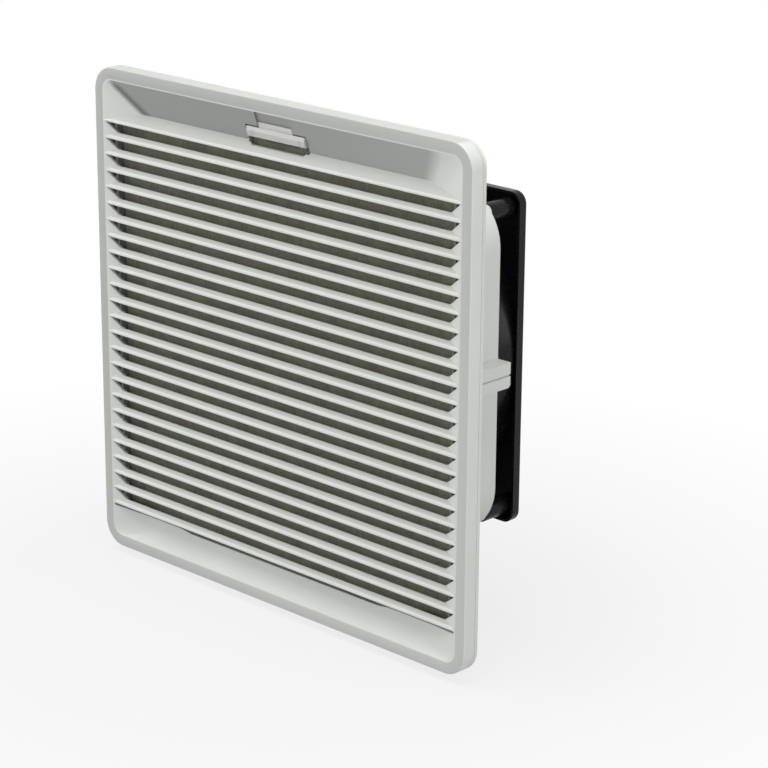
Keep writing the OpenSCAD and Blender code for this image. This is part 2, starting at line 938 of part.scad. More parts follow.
// Panel clips, one in the middle of each side of the tray
module panel_clip() {
    color(shade_grey)
        translate([0, 0, -clip_w / 2])
            linear_extrude(height = clip_w)
                difference() {
                    union() {
                        translate([clip_axis_x, clip_axis_y])
                            circle(clip_barrel_r);
                        polygon([[clip_axis_x - clip_t / 2, clip_axis_y],
                                 [clip_axis_x - clip_t / 2, clip_front_y],
                                 [tray_half + clip_barb_out - clip_nose, clip_front_y],
                                 [tray_half + clip_barb_out, clip_front_y + clip_nose],
                                 [clip_axis_x + clip_t / 2, clip_ramp_end_y],
                                 [clip_axis_x + clip_t / 2, clip_axis_y]]);
                    }
                    translate([clip_axis_x, clip_axis_y])
                        circle(clip_pin_r + clip_play);
                }
}

module clip_right() {
    panel_clip();
}

module clip_top() {
    rotate([0, -90, 0])
        panel_clip();
}

module clip_left() {
    rotate([0, 180, 0])
        panel_clip();
}

module clip_bottom() {
    rotate([0, 90, 0])
        panel_clip();
}

module clip_pins() {
    color(steel)
        for (turn = [0 : 90 : 270])
            rotate([0, turn, 0])
                translate([clip_axis_x, clip_axis_y, -clip_w / 2 - clip_ear_w])
                    cylinder(r = clip_pin_r, h = clip_w + 2 * clip_ear_w);
}

// Fan housing: square plate with a bent rim and a duct that flares to meet it
module fan_housing() {
    color(black_paint) {
        difference() {
            mirror([0, 1, 0])
                translate([0, -plate_rear_y, 0])
                    edge_slab(plate_half, plate_corner_r, plate_lip, plate_edge_r);
            along_y(plate_rear_y - plate_lip - overrun, plate_front_y)
                rounded_rect(plate_w - 2 * plate_t, plate_w - 2 * plate_t, plate_corner_r - plate_t);
            rod_y(flare_r, plate_front_y - overrun, plate_rear_y + overrun);
            at_corners(post_place)
                rod_y(m4_r + m4_play, plate_front_y - overrun, plate_rear_y + overrun);
            at_corners(guard_screw_place)
                rod_y(m4_r + m4_play, plate_front_y - overrun, plate_rear_y + overrun);
        }
        around_y()
            duct_section();
    }
}

module duct_section() {
    translate([throat_r, throat_front_y])
        square([plate_t, flare_start_y - throat_front_y]);
    intersection() {
        translate([throat_r + flare_arc_r, flare_start_y])
            difference() {
                circle(flare_arc_r, $fn = flare_fn);
                circle(flare_arc_r - plate_t, $fn = flare_fn);
            }
        translate([throat_r - overrun, flare_start_y])
            square([flare_rise + plate_t + 2 * overrun, plate_front_y + bite - flare_start_y]);
    }
    intersection() {
        translate([throat_r + inlet_r, throat_front_y])
            difference() {
                circle(inlet_r);
                circle(inlet_r - plate_t);
            }
        translate([throat_r - overrun, throat_front_y - inlet_r])
            square([inlet_r + overrun, inlet_r]);
    }
}

// Pan-head screw along +Y with the underside of its head at y = 0 and its head to the rear
module pan_screw(length) {
    rod_y(m4_r, -length, bite);
    difference() {
        union() {
            rod_y(m4_head_r, 0, m4_head_h / 2);
            around_y()
                intersection() {
                    translate([0, m4_head_h / 2])
                        scale([1, m4_head_h / 2 / m4_head_r])
                            circle(m4_head_r);
                    square([m4_head_r, m4_head_h]);
                }
        }
        translate([-m4_head_r, m4_head_h - m4_slot_h, -m4_slot_w / 2])
            cube([2 * m4_head_r, m4_slot_h + overrun, m4_slot_w]);
    }
}

module plate_screws() {
    color(steel)
        at_corners(post_place)
            translate([0, plate_rear_y, 0])
                pan_screw(plate_t + screw_grip);
}

module guard_screws() {
    color(steel)
        at_corners(guard_screw_place)
            translate([0, plate_rear_y + eyelet_t, 0])
                pan_screw(eyelet_t + plate_t + nut_h + nut_end);
}

module guard_nuts() {
    color(steel)
        at_corners(guard_screw_place)
            difference() {
                translate([0, plate_front_y, 0])
                    rotate([90, 0, 0])
                        cylinder(r = nut_across / sqrt(3), h = nut_h, $fn = 6);
                rod_y(m4_r, plate_front_y - nut_h - overrun, plate_front_y + overrun);
            }
}

// Wire guard behind the fan, which also carries the motor
module finger_guard() {
    ring_step = (guard_outer_r - guard_inner_r) / (guard_rings - 1);
    reach = guard_screw_place * sqrt(2);
    color(steel) {
        for (ring = [0 : guard_rings - 1])
            around_y()
                translate([guard_inner_r + ring * ring_step, guard_plane_y])
                    circle(guard_wire_r);
        for (index = [0 : spoke_count - 1])
            rotate([0, index * 360 / spoke_count, 0])
                translate([0, spoke_y, 0])
                    rod_x(spoke_r, guard_disc_r - spoke_lap, guard_outer_r + spoke_end);
        difference() {
            rod_y(guard_disc_r, guard_disc_y, guard_disc_y + guard_disc_t);
            motor_screw_places()
                rod_y(m4_r + m4_play, guard_disc_y - overrun, guard_disc_y + guard_disc_t + overrun);
        }
        for (turn = [45 : 90 : 315])
            rotate([0, turn, 0])
                difference() {
                    union() {
                        translate([reach, 0, 0])
                            rod_y(eyelet_r, plate_rear_y, plate_rear_y + eyelet_t);
                        translate([guard_outer_r - spoke_end, plate_rear_y, -spoke_r])
                            cube([reach - guard_outer_r + spoke_end, eyelet_t, 2 * spoke_r]);
                    }
                    translate([reach, 0, 0])
                        rod_y(m4_r + m4_play, plate_rear_y - overrun, plate_rear_y + eyelet_t + overrun);
                }
    }
}

module motor_screw_places() {
    for (index = [0 : motor_screw_count - 1])
        rotate([0, motor_screw_turn + index * 360 / motor_screw_count, 0])
            translate([motor_screw_pcd / 2, 0, 0])
                children();
}

module motor_screws() {
    color(steel)
        motor_screw_places()
            translate([0, guard_disc_y + guard_disc_t, 0])
                pan_screw(guard_disc_t + base_t);
}

// Motor base: a flange with a neck to the guard and the tube that holds the bearings
module motor_base() {
    color(shade_grey)
        difference() {
            union() {
                rod_y(base_r, base_front_y, base_front_y + base_t);
                rod_y(base_neck_r, base_front_y, guard_disc_y);
                rod_y(tube_r, tube_front_y, base_front_y + base_t);
            }
            rod_y(bearing_r, tube_front_y - overrun, shaft_rear_y + overrun);
            motor_screw_places()
                rod_y(m4_r, guard_disc_y - base_t, guard_disc_y + overrun);
        }
}

module stator_core() {
    color(steel)
        difference() {
            rod_y(stator_r, stator_mid_y - stator_l / 2, stator_mid_y + stator_l / 2);
            rod_y(tube_r, stator_mid_y - stator_l, stator_mid_y + stator_l);
            for (index = [0 : slot_count - 1])
                rotate([0, index * 360 / slot_count, 0]) {
                    translate([stator_r - slot_inset, 0, 0])
                        rod_y(slot_r, stator_mid_y - stator_l, stator_mid_y + stator_l);
                    translate([stator_r - slot_inset, stator_mid_y - stator_l, -slot_neck / 2])
                        cube([slot_inset + overrun, 2 * stator_l, slot_neck]);
                }
        }
}

module stator_winding() {
    color(copper)
        for (end = [-1, 1])
            around_y()
                translate([tube_r + winding_in, stator_mid_y + end * (stator_l + winding_l) / 2 - winding_l / 2])
                    square([stator_r - winding_out - tube_r - winding_in, winding_l]);
}

module bearing_at(front_y) {
    inner = shaft_r + bearing_play;
    around_y() {
        translate([inner, front_y])
            square([bearing_ring_t, bearing_w]);
        translate([bearing_r - bearing_ring_t, front_y])
            square([bearing_ring_t, bearing_w]);
        translate([inner, front_y + bearing_w / 4])
            square([bearing_r - inner, bearing_w / 2]);
    }
}

module bearings() {
    color(steel) {
        bearing_at(front_bearing_y);
        bearing_at(rear_bearing_y);
    }
}

module rotor_can() {
    color(black_paint)
        around_y()
            difference() {
                union() {
                    translate([shaft_r, rotor_front_y])
                        square([rotor_boss_r - shaft_r, rotor_boss_l]);
                    translate([shaft_r, rotor_front_y])
                        square([rotor_r - hub_edge_r - shaft_r, rotor_wall]);
                    translate([rotor_r - rotor_wall, rotor_front_y + hub_edge_r])
                        square([rotor_wall, rotor_l - hub_edge_r]);
                    translate([rotor_r - hub_edge_r - rotor_wall, rotor_front_y])
                        square([rotor_wall, rotor_wall]);
                    translate([rotor_r - hub_edge_r, rotor_front_y + hub_edge_r])
                        circle(hub_edge_r);
                }
                translate([shaft_r, rotor_front_y - overrun])
                    square([rotor_dimple_r - shaft_r, overrun + rotor_dimple]);
            }
}

module shaft() {
    color(steel)
        difference() {
            around_y()
                polygon([[0, rotor_front_y + rotor_dimple],
                         [shaft_r, rotor_front_y + rotor_dimple],
                         [shaft_r, shaft_rear_y - shaft_chamfer],
                         [shaft_r - shaft_chamfer, shaft_rear_y],
                         [0, shaft_rear_y]]);
            around_y()
                translate([shaft_r - shaft_chamfer, rear_bearing_y + bearing_w + ring_gap])
                    square([shaft_r, ring_t]);
        }
}

module retaining_ring() {
    color(steel)
        around_y()
            translate([shaft_r - shaft_chamfer, rear_bearing_y + bearing_w + ring_gap])
                square([ring_out + shaft_chamfer, ring_t]);
}

// Point on a blade: share along the radius, share along the chord, side of the section
function blend(from, to, share) = from + (to - from) * share;
function blade_thickness(chord_share) = blade_fullness_share * (sqrt(chord_share) - chord_share) + blade_edge_share;
function blade_point(radius_share, chord_share, side) =
    let(radius = blend(blade_root_r, blade_tip_r, radius_share),
        chord = blend(blade_root_chord, blade_tip_chord, radius_share),
        pitch = blend(blade_root_pitch, blade_tip_pitch, radius_share),
        thick = blend(blade_root_t, blade_tip_t, radius_share) * blade_thickness(chord_share) * side / 2,
        camber = 4 * blade_camber_share * chord * chord_share * (1 - chord_share),
        along = (chord_share - 0.5) * chord,
        across = camber + thick,
        tangent = along * cos(pitch) - across * sin(pitch),
        axial = along * sin(pitch) + across * cos(pitch),
        angle = blade_sweep * radius_share * radius_share + tangent / radius * 180 / PI)
    [radius * cos(angle), (hub_front_y + hub_rear_y) / 2 + axial, radius * sin(angle)];

module impeller_blade() {
    ring = 2 * blade_points - 2;
    points = [for (station = [0 : blade_stations - 1], index = [0 : ring - 1])
        let(upper = index < blade_points,
            place = upper ? index : ring - index)
        blade_point(station / (blade_stations - 1), place / (blade_points - 1),
                    place == 0 || place == blade_points - 1 ? 0 : upper ? 1 : -1)];
    sides = [for (station = [0 : blade_stations - 2], index = [0 : ring - 1])
        let(a = station * ring + index,
            b = station * ring + (index + 1) % ring,
            c = b + ring,
            d = a + ring)
        for (face = [[a, c, b], [a, d, c]]) face];
    root_cap = [for (index = [1 : ring - 2]) [0, index, index + 1]];
    last = (blade_stations - 1) * ring;
    tip_cap = [for (index = [1 : ring - 2]) [last, last + index + 1, last + index]];
    polyhedron(points, concat(sides, root_cap, tip_cap));
}

module impeller() {
    color(black_paint) {
        around_y()
            translate([rotor_r, hub_front_y])
                square([hub_r - rotor_r, hub_rear_y - hub_front_y]);
        for (index = [0 : blade_count - 1])
            rotate([0, index * 360 / blade_count, 0])
                impeller_blade();
    }
}

// Terminal block for the supply, screwed to the back of the tray floor
module terminal_block() {
    color(black_paint)
        translate([0, tray_depth, terminal_z])
            difference() {
                translate([-terminal_w / 2, 0, -terminal_h / 2])
                    cube([terminal_w, terminal_l, terminal_h]);
                for (pole = [0 : terminal_poles - 1])
                    translate([(pole - (terminal_poles - 1) / 2) * terminal_pitch, 0, 0]) {
                        translate([0, terminal_l - terminal_well, terminal_h / 4])
                            rod_y(terminal_hole_r, 0, terminal_well + overrun);
                        translate([-terminal_entry_w / 2, terminal_l - terminal_entry_l,
                                   terminal_wall - terminal_h / 2])
                            cube([terminal_entry_w, terminal_entry_l + overrun, terminal_entry_h]);
                    }
            }
}

module terminal_screws() {
    color(steel)
        for (pole = [0 : terminal_poles - 1])
            translate([(pole - (terminal_poles - 1) / 2) * terminal_pitch,
                       tray_depth + terminal_l - terminal_well, terminal_z + terminal_h / 4])
                difference() {
                    rod_y(terminal_screw_r, 0, m4_head_h);
                    translate([-terminal_screw_r, m4_head_h - m4_slot_h, -m4_slot_w / 2])
                        cube([2 * terminal_screw_r, m4_slot_h + overrun, m4_slot_w]);
                }
}

mounting_frame();
panel_gasket();
filter_grid();
filter_mat();
clip_pins();
fan_housing();
plate_screws();
motor_base();
stator_core();
stator_winding();
bearings();
finger_guard();
guard_screws();
guard_nuts();
motor_screws();
terminal_block();
terminal_screws();
front_cover();
hinge_pins();
latch();
impeller();
rotor_can();
shaft();
retaining_ring();
clip_right();
clip_top();
clip_left();
clip_bottom();
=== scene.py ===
"""Looks of an enclosure filter fan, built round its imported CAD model.

It is laid out as an add-on and run as a script. Where no other unit is given, sizes are in millimetres in the CAD
frame: X to the right seen from the front, Y into the enclosure and Z up, from the middle of the panel plane.
"""
import math

import bmesh
import bpy
from bpy.props import FloatProperty, FloatVectorProperty, IntProperty, PointerProperty
from mathutils import Matrix, Vector, noise


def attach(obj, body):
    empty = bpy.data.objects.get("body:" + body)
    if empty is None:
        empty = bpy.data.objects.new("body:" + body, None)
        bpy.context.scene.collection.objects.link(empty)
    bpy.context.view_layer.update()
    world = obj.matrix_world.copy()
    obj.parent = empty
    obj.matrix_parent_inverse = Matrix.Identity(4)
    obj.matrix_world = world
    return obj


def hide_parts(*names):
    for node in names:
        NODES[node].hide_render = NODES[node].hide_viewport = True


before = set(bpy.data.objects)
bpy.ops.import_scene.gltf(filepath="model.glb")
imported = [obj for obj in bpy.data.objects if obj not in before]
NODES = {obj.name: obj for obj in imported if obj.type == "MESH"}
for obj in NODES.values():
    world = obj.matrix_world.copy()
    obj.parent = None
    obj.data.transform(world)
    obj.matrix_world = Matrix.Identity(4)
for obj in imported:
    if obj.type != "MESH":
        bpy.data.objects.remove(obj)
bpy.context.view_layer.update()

bl_info = {
    "name": "Enclosure filter fan",
    "version": (1, 0, 0),
    "blender": (4, 5, 0),
    "location": "3D View > Sidebar > Filter fan",
    "description": "Builds the finished looks of a louvred enclosure filter fan round its CAD frame",
    "category": "Object",
}

MM = 0.001
CORNER_STEPS = 4

# Front cover
FRONT_HALF = 162.5
FRONT_CORNER = 16
RIM_Y = -13.1
RIM_LIP = 0.45
COVER_REAR_Y = -4.0
COVER_WALL = 1.8
OUTER_ROUND = 0.9
ROUND_STEPS = 6
DISH_HALF = 154.5
DISH_CORNER = 8
DISH_CORNER_GROWTH = 6
DISH_DEPTH = 7.2
CHEEK_RUN = 27
COVE_H = 19.5
COVE_TURN = math.radians(60)
COVE_START = 0.025
COVE_STEPS = 14
TROUGH_H = 20.3
TROUGH_Z = DISH_HALF - TROUGH_H
FIRST_EDGE_Z = TROUGH_Z - 7.4
LAST_EDGE_Z = 21.1 - DISH_HALF
LOUVRE_COUNT = 24
LOUVRE_PITCH = (FIRST_EDGE_Z - LAST_EDGE_Z) / LOUVRE_COUNT
LOUVRE_Y = RIM_Y + 0.04
LOUVRE_HALF = DISH_HALF + 0.2
LOUVRE_RISE = 4.6
LOUVRE_RUN = 2.6
LOUVRE_T = 1.4
LOUVRE_EDGE = 1.2
GAP_TIP = DISH_HALF - 1.4
GAP_FOOT = DISH_HALF - 9.5
WINDOW_HALF = DISH_HALF - 10.5
WINDOW_FOOT = LAST_EDGE_Z + 0.4
SLOT_FOOT = -139
SLOT_FOOT_HALF = 85
SLOT_TOP_HALF = 129
# Height per depth of the painted shadow line below the last louvre
SLIT_SLOPE = 0.45
SKIRT_X = DISH_HALF - 7.8
SKIRT_T = 1.6
SKIRT_HALF = 137.5
SKIRT_BACK = 3.6

# Latch and its opening
LATCH_Y = RIM_Y + 7.2
LATCH_Z = DISH_HALF - 9.3
LATCH_HALF = 25
LATCH_END = 1.2
LATCH_FOOT = 137.4
LATCH_STEP = 2.6
LATCH_TOP = 143.8
BARREL_R = 1.3
PIN_R = 0.9
PIN_REACH = 3
BOSS_R = 1.9
BOSS_HALF = 1.5
TONGUE_HALF = 14.4
TONGUE_H = 3.8
TONGUE_SINK = 0.3
TONGUE_T = 0.5
RIB_X = 20.6
RIB_HALF = 0.3
ARM_NEAR = 9
ARM_FAR = 15
ARM_FOOT = 138.9
ARM_TOP = 140.3
ARM_END = 0.9
ARM_BARB = 0.4
ARM_BARB_L = 1.1
OPENING_HALF = LATCH_HALF + LATCH_END
OPENING_TOP = LATCH_Z - 0.6
OPENING_FOOT_HALF = 22.5
RECESS_HALF = 15.2
RECESS_SINK = 1.5

# Hinge
HINGE_X = 110
HINGE_Y = -6.2
HINGE_Z = -160.3
EYE_X = 6.4
EYE_R = 2
EYE_LEDGE = 1.8
NOTCH_R = 3.1
NOTCH_HALF = 4.4
RELIEF_R = 2.2

# Mat and seal. A notch has its depth and its half width.
MAT_FRONT_Y = -3.4
MAT_REAR_Y = 11.5
MAT_HALF = 140.5
MAT_SOFT = 1.1
MAT_CELLS = 140
CLIP_NOTCH = (1.9, 13)
ARM_NOTCH = (4.8, 16)
EDGE_HALF = 134
EDGE_STEPS = 90
# Points of a crushed edge: how far past the mat's side, how deep, and 1 where the surface puffs
EDGE_PROFILE = ((-9, -2.9, 0), (-4, -3.9, 1), (0, -4.5, 1), (4.8, -4.4, 1),
                (5.2, -3.84, 0), (0, -3.84, 0), (-1.6, -2.8, 0), (-4, -2.4, 0))
SEAL_OUTER = 159
SEAL_INNER = 150
SEAL_CORNER = 6
SEAL_CORNER_GROWTH = 6.5
SEAL_CROWN = 0.9
SEAL_SEAT_Y = -1.98
STUD_PLACE = 152
STUD_R = 2.25

# Fan. A pair holds the value at the blade's root and the one at its tip.
HUB_R = 48.5
HUB_FRONT_Y = 44
HUB_REAR_Y = 82
ROTOR_R = 46
TIP_R = 96.6
BLADE_COUNT = 7
BLADE_SINK = 1.6
BLADE_CHORD = (44, 62)
BLADE_PITCH = (50, 24)
BLADE_T = (3.4, 2)
BLADE_CAMBER = 0.07
BLADE_SWEEP = 24
BLADE_CROWDING = 1.6
POST_PLACE = 96.5
POST_R = 5.25
SLEEVE_R = 6.1
SLEEVE_SPAN = (73.1, 97.85)

# Stage
FLOOR_REACH = 4000
FLOOR_GAP = 0.6

# Widths over which the masks fade, in metres
FADE = 0.0003
SHARP_FADE = 0.0001

# Camera, solved on the corners of the square front. Its place is in metres and its lens in millimetres.
CAMERA_PLACE = (1.110852, -1.074757, 0.486543)
CAMERA_AHEAD = (-0.65721719, 0.68702255, -0.30994449)
CAMERA_UP = (-0.21979643, 0.21865145, 0.9507266)
CAMERA_LENS = 122.675


class Wire:
    """An output socket of a finish, with arithmetic that adds Math nodes."""

    def __init__(self, finish, socket):
        self.finish = finish
        self.socket = socket

    def __add__(self, other):
        return self.finish.maths("ADD", self, other)

    __radd__ = __add__

    def __sub__(self, other):
        return self.finish.maths("SUBTRACT", self, other)

    def __rsub__(self, other):
        return self.finish.maths("SUBTRACT", other, self)

    def __mul__(self, other):
        return self.finish.maths("MULTIPLY", self, other)

    __rmul__ = __mul__

    def __truediv__(self, other):
        return self.finish.maths("DIVIDE", self, other)

    def __rtruediv__(self, other):
        return self.finish.maths("DIVIDE", other, self)


class Finish:
    """One procedural material and the nodes that feed its shader."""

    def __init__(self, name, colour=(0.8, 0.8, 0.8), **constants):
        self.material = bpy.data.materials.new(name)
        self.material.use_nodes = True
        self.tree = self.material.node_tree
        self.shader = self.tree.nodes["Principled BSDF"]
        self.output = self.tree.nodes["Material Output"]
        self.shader.inputs["Base Color"].default_value = (*colour, 1)
        for socket, value in constants.items():
            self.shader.inputs[socket.replace("_", " ")].default_value = value
        self.place = Wire(self, self.node("ShaderNodeTexCoord").outputs["Object"])

    def node(self, kind, settings=None, feeds=None):
        """A new node with its settings made first, then the values or wires of its sockets."""
        made = self.tree.nodes.new(kind)
        for setting, value in (settings or {}).items():
            setattr(made, setting, value)
        for socket, value in (feeds or {}).items():
            self.feed(made.inputs[socket], value)
        return made

    def feed(self, socket, value):
        if isinstance(value, Wire):
            self.tree.links.new(value.socket, socket)
        elif getattr(socket, "type", "") == "RGBA" and len(value) == 3:
            socket.default_value = (*value, 1)
        else:
            socket.default_value = value

    def maths(self, operation, *values):
        made = self.node("ShaderNodeMath", {"operation": operation}, dict(enumerate(values)))
        return Wire(self, made.outputs[0])

    def clamp(self, value):
        made = self.node("ShaderNodeClamp", None, {"Value": value})
        return Wire(self, made.outputs[0])

    def stretched(self, x, y, z):
        """The place on the object, scaled along each axis."""
        made = self.node("ShaderNodeVectorMath", {"operation": "MULTIPLY"}, {0: self.place, 1: (x, y, z)})
        return Wire(self, made.outputs[0])

    def speckle(self, scale, detail=2.0, roughness=0.5, place=None, distortion=0.0):
        made = self.node("ShaderNodeTexNoise", None, {
            "Vector": place or self.place, "Scale": scale, "Detail": detail,
            "Roughness": roughness, "Distortion": distortion})
        return Wire(self, made.outputs[0])

    def cells(self, scale):
        made = self.node("ShaderNodeTexVoronoi", None, {"Vector": self.place, "Scale": scale})
        return Wire(self, made.outputs["Distance"])

    def axes(self):
        """The three coordinates on the object, in metres."""
        made = self.node("ShaderNodeSeparateXYZ", None, {0: self.place})
        return [Wire(self, made.outputs[index]) for index in range(3)]

    def between(self, share, low, high, low_share=0.0, high_share=1.0):
        made = self.node("ShaderNodeMapRange", None, {
            "Value": share, "From Min": low_share, "From Max": high_share, "To Min": low, "To Max": high})
        return Wire(self, made.outputs["Result"])

    def mix(self, share, first, second):
        made = self.node("ShaderNodeMix", {"data_type": "RGBA"}, {0: share, 6: first, 7: second})
        return Wire(self, made.outputs[2])

    def colour(self, wire):
        self.feed(self.shader.inputs["Base Color"], wire)

    def roughness(self, wire):
        self.feed(self.shader.inputs["Roughness"], wire)

    def relief(self, height, depth):
        """Bump of the given height field, whose depth is in metres."""
        made = self.node("ShaderNodeBump", None, {"Height": height, "Distance": depth, "Strength": 1.0})
        self.feed(self.shader.inputs["Normal"], Wire(self, made.outputs["Normal"]))


def shade(colour, share):
    return tuple(channel * share for channel in colour)


def moulded(name, colour, gloss, shade_regions=()):
    """Moulded plastic with a fine eroded grain, faint flow mottling and slightly uneven gloss.

    A region is a mask where shade is painted into the colour, with its share of the colour at the upper left and at
    the lower right.
    """
    made = Finish(name, colour, Specular_IOR_Level=0.4)
    mottle = made.speckle(14, 3, 0.6)
    body = made.mix(made.between(mottle, 0, 1, 0.3, 0.7), shade(colour, 0.975), shade(colour, 1.02))
    # Each region lays a painted shade over the plastic's colour.
    for mask, first, second in shade_regions:
        x, y, z = made.axes()
        painted_shade = made.mix(made.between(x - z, 0, 1, -0.16, 0.16), shade(colour, first), shade(colour, second))
        body = made.mix(mask(made), body, painted_shade)
    made.colour(body)
    made.roughness(made.between(made.speckle(60, 2), gloss - 0.04, gloss + 0.06, 0.3, 0.7))
    made.relief(made.speckle(900, 2, 0.6) + 0.5 * made.speckle(320, 1), 0.00003)
    return made.material


def on_rim(made):
    """1 on the flat rim of the cover, where shade is painted, and 0 elsewhere."""
    x, y, z = made.axes()
    reach = (DISH_HALF + RIM_LIP - DISH_CORNER) * MM
    across, up = (made.maths("MAXIMUM", made.maths("ABSOLUTE", axis) - reach, 0) for axis in (x, z))
    outside = made.maths("SQRT", across * across + up * up) - DISH_CORNER * MM
    return made.clamp(outside / 0.0002) * made.clamp(((RIM_Y + 0.12) * MM - y) / 0.00008)


def dish_shares(made):
    """How far a place is from the field's side edge and from its top edge, as shares of the slopes there."""
    x, y, z = made.axes()
    return ((DISH_HALF * MM - made.maths("ABSOLUTE", x)) / (CHEEK_RUN * MM),
            (DISH_HALF * MM - z) / (TROUGH_H * MM))


def in_trough(made):
    """1 between the rim and the bottom of the trough."""
    x, y, z = made.axes()
    high = made.clamp((z - TROUGH_Z * MM) / FADE) * made.clamp((DISH_HALF * MM - z) / FADE)
    return high * made.clamp((y - (RIM_Y + 0.1) * MM) / SHARP_FADE)


def on_trough(made):
    """1 on the trough's upper face, where shade is painted, fading along its left fold and well before its right
    one.
    """
    x, y, z = made.axes()
    from_side, from_top = dish_shares(made)
    left = made.clamp((from_side - from_top - 0.03) / 0.25)
    right = made.clamp((from_side - 0.4 * from_top - 0.54) / 0.4)
    return in_trough(made) * (left + made.clamp(x / 0.01) * (right - left))


def on_fold(made):
    """1 in the soft shade along the trough's left fold, fading to both sides."""
    x, y, z = made.axes()
    from_side, from_top = dish_shares(made)
    near = made.clamp(1 - made.maths("ABSOLUTE", from_side - from_top - 0.27) / 0.25)
    return in_trough(made) * near * made.clamp(0 - x / 0.01) * made.clamp((y - (RIM_Y + 0.3) * MM) / 0.001)


def behind_last(made):
    """1 on the band lower than the last louvre, and 0 on the rim and outside it."""
    x, y, z = made.axes()
    inside = made.clamp((DISH_HALF * MM - made.maths("ABSOLUTE", x)) / FADE)
    return inside * made.clamp((LAST_EDGE_Z * MM - z) / FADE) * made.clamp((y - (RIM_Y + 0.1) * MM) / FADE)


def in_painted_slit(made):
    """1 in a painted shadow line below the last louvre, where the skin comes forward beside the slot."""
    x, y, z = made.axes()
    height = z - LAST_EDGE_Z * MM + SLIT_SLOPE * (y - RIM_Y * MM)
    return behind_last(made) * made.clamp((height + 0.0016) / 0.0006)


def on_top(made):
    """1 on the wall that faces up, where a painted shade dims it."""
    x, y, z = made.axes()
    return made.clamp((z - (FRONT_HALF - 1) * MM) / 0.0005)


def on_slopes(made):
    """1 on the sloping faces of the louvres, where shade is painted, and 0 on their front edges."""
    x, y, z = made.axes()
    return made.clamp((y - (RIM_Y + 0.8) * MM) / FADE)


def painted_sheet(name, colour, gloss=0.22):
    """Painted sheet steel with the low waves of its paint and a few dust specks."""
    made = Finish(name, colour, Specular_IOR_Level=0.15)
    waves = made.speckle(220, 1, 0.4)
    dust = made.clamp(made.between(made.speckle(1400, 0), 0, 1, 0.72, 0.8))
    made.colour(made.mix(dust * 0.35, colour, (0.12, 0.12, 0.12)))
    made.roughness(made.between(made.speckle(35, 2), gloss - 0.05, gloss + 0.08, 0.3, 0.7) + dust * 0.2)
    made.relief(waves, 0.00005)
    return made.material


def metal(name, colour, gloss, grain=0.00002, scale=500, along=(1, 1, 1)):
    """Plated or bright metal, its marks stretched along the way it was worked."""
    made = Finish(name, colour, Metallic=1.0)
    marks = made.speckle(scale, 3, 0.6, place=made.stretched(*along))
    tarnish = made.speckle(90, 3, 0.6)
    made.colour(made.mix(made.between(tarnish, 0, 1, 0.35, 0.7), shade(colour, 0.86), colour))
    made.roughness(made.between(marks, gloss - 0.06, gloss + 0.1, 0.3, 0.7))
    made.relief(marks, grain)
    return made.material


def fibre_mat(name, colour):
    """Laid fibres of the filter mat: three crossing layers of thin streaks over soft clumps."""
    made = Finish(name, colour, Specular_IOR_Level=0.15, Sheen_Weight=0.25, Sheen_Roughness=0.6)
    layers = [made.speckle(420, 2, 0.65, place=made.stretched(*stretch), distortion=1.2)
              for stretch in ((0.22, 1, 1), (1, 1, 0.22), (0.6, 1, 0.6))]
    fibres = (layers[0] + layers[1] + layers[2]) / 3
    clumps = made.speckle(70, 3, 0.6)
    mixed = made.clamp(made.between(0.65 * fibres + 0.35 * clumps, 0, 1, 0.38, 0.62))
    made.colour(made.mix(mixed, shade(colour, 0.68), shade(colour, 1.18)))
    made.roughness(made.between(clumps, 0.85, 1.0, 0.3, 0.7))
    made.relief(mixed, 0.0004)
    return made.material


def foam(name, colour):
    """Foamed seal with a thin skin and open pores in it."""
    made = Finish(name, colour, Specular_IOR_Level=0.25)
    pores = made.clamp(made.between(made.cells(900), 0, 1, 0.08, 0.3))
    made.colour(made.mix(pores, shade(colour, 0.4), colour))
    made.roughness(made.between(made.speckle(200, 2), 0.62, 0.8, 0.3, 0.7))
    made.relief(pores + made.speckle(260, 2) * 0.6, 0.00015)
    return made.material


def clear_plastic(name, colour):
    """Hazy clear plastic with a painted shadow in the slit above the bar."""
    made = Finish(name, colour, Transmission_Weight=0.5, IOR=1.35, Specular_IOR_Level=0.5)
    haze = made.speckle(120, 2)
    made.roughness(made.between(haze, 0.1, 0.2, 0.3, 0.7))
    x, y, z = made.axes()
    # The slit between the bar's top and the opening is painted almost black, as a shadow.
    above = made.clamp((z - (LATCH_TOP - 0.1) * MM) / SHARP_FADE)
    below = made.clamp(((LATCH_Z - 0.4) * MM - z) / SHARP_FADE)
    slit = above * below * made.clamp((y - (LATCH_Y - 2.2) * MM) / SHARP_FADE)
    tint = made.mix(made.between(made.speckle(40, 1), 0, 1, 0.3, 0.7), shade(colour, 0.94), colour)
    made.colour(made.mix(0.9 * slit, tint, shade(colour, 0.03)))
    made.relief(made.speckle(300, 1), 0.00002)
    return made.material


def laminated(name):
    """Stacked sheets of the stator, seen as fine lines across its depth."""
    made = Finish(name, (0.32, 0.31, 0.3), Metallic=0.9)
    lines = made.node("ShaderNodeTexWave", {"bands_direction": "Y", "wave_profile": "SAW"},
                      {"Vector": made.place, "Scale": 320.0, "Distortion": 0.4})
    sheets = Wire(made, lines.outputs["Fac"])
    made.colour(made.mix(sheets, (0.12, 0.11, 0.1), (0.42, 0.41, 0.4)))
    made.roughness(made.between(made.speckle(300, 2), 0.35, 0.6, 0.3, 0.7))
    made.relief(sheets, 0.0001)
    return made.material


def dress(node, material):
    """Gives a CAD node that stays its material and soft shading across its shallow edges."""
    target = NODES[node]
    target.data.materials.clear()
    target.data.materials.append(material)
    target.data.shade_smooth()
    target.data.set_sharp_from_angle(angle=math.radians(30))


def solid(name, points, faces, smooth=35):
    """A mesh object from points in millimetres."""
    mesh = bpy.data.meshes.new(name)
    mesh.from_pydata([(x * MM, y * MM, z * MM) for x, y, z in points], [], faces)
    made = bpy.data.objects.new(name, mesh)
    bpy.context.scene.collection.objects.link(made)
    tidy_mesh(made, smooth)
    return made


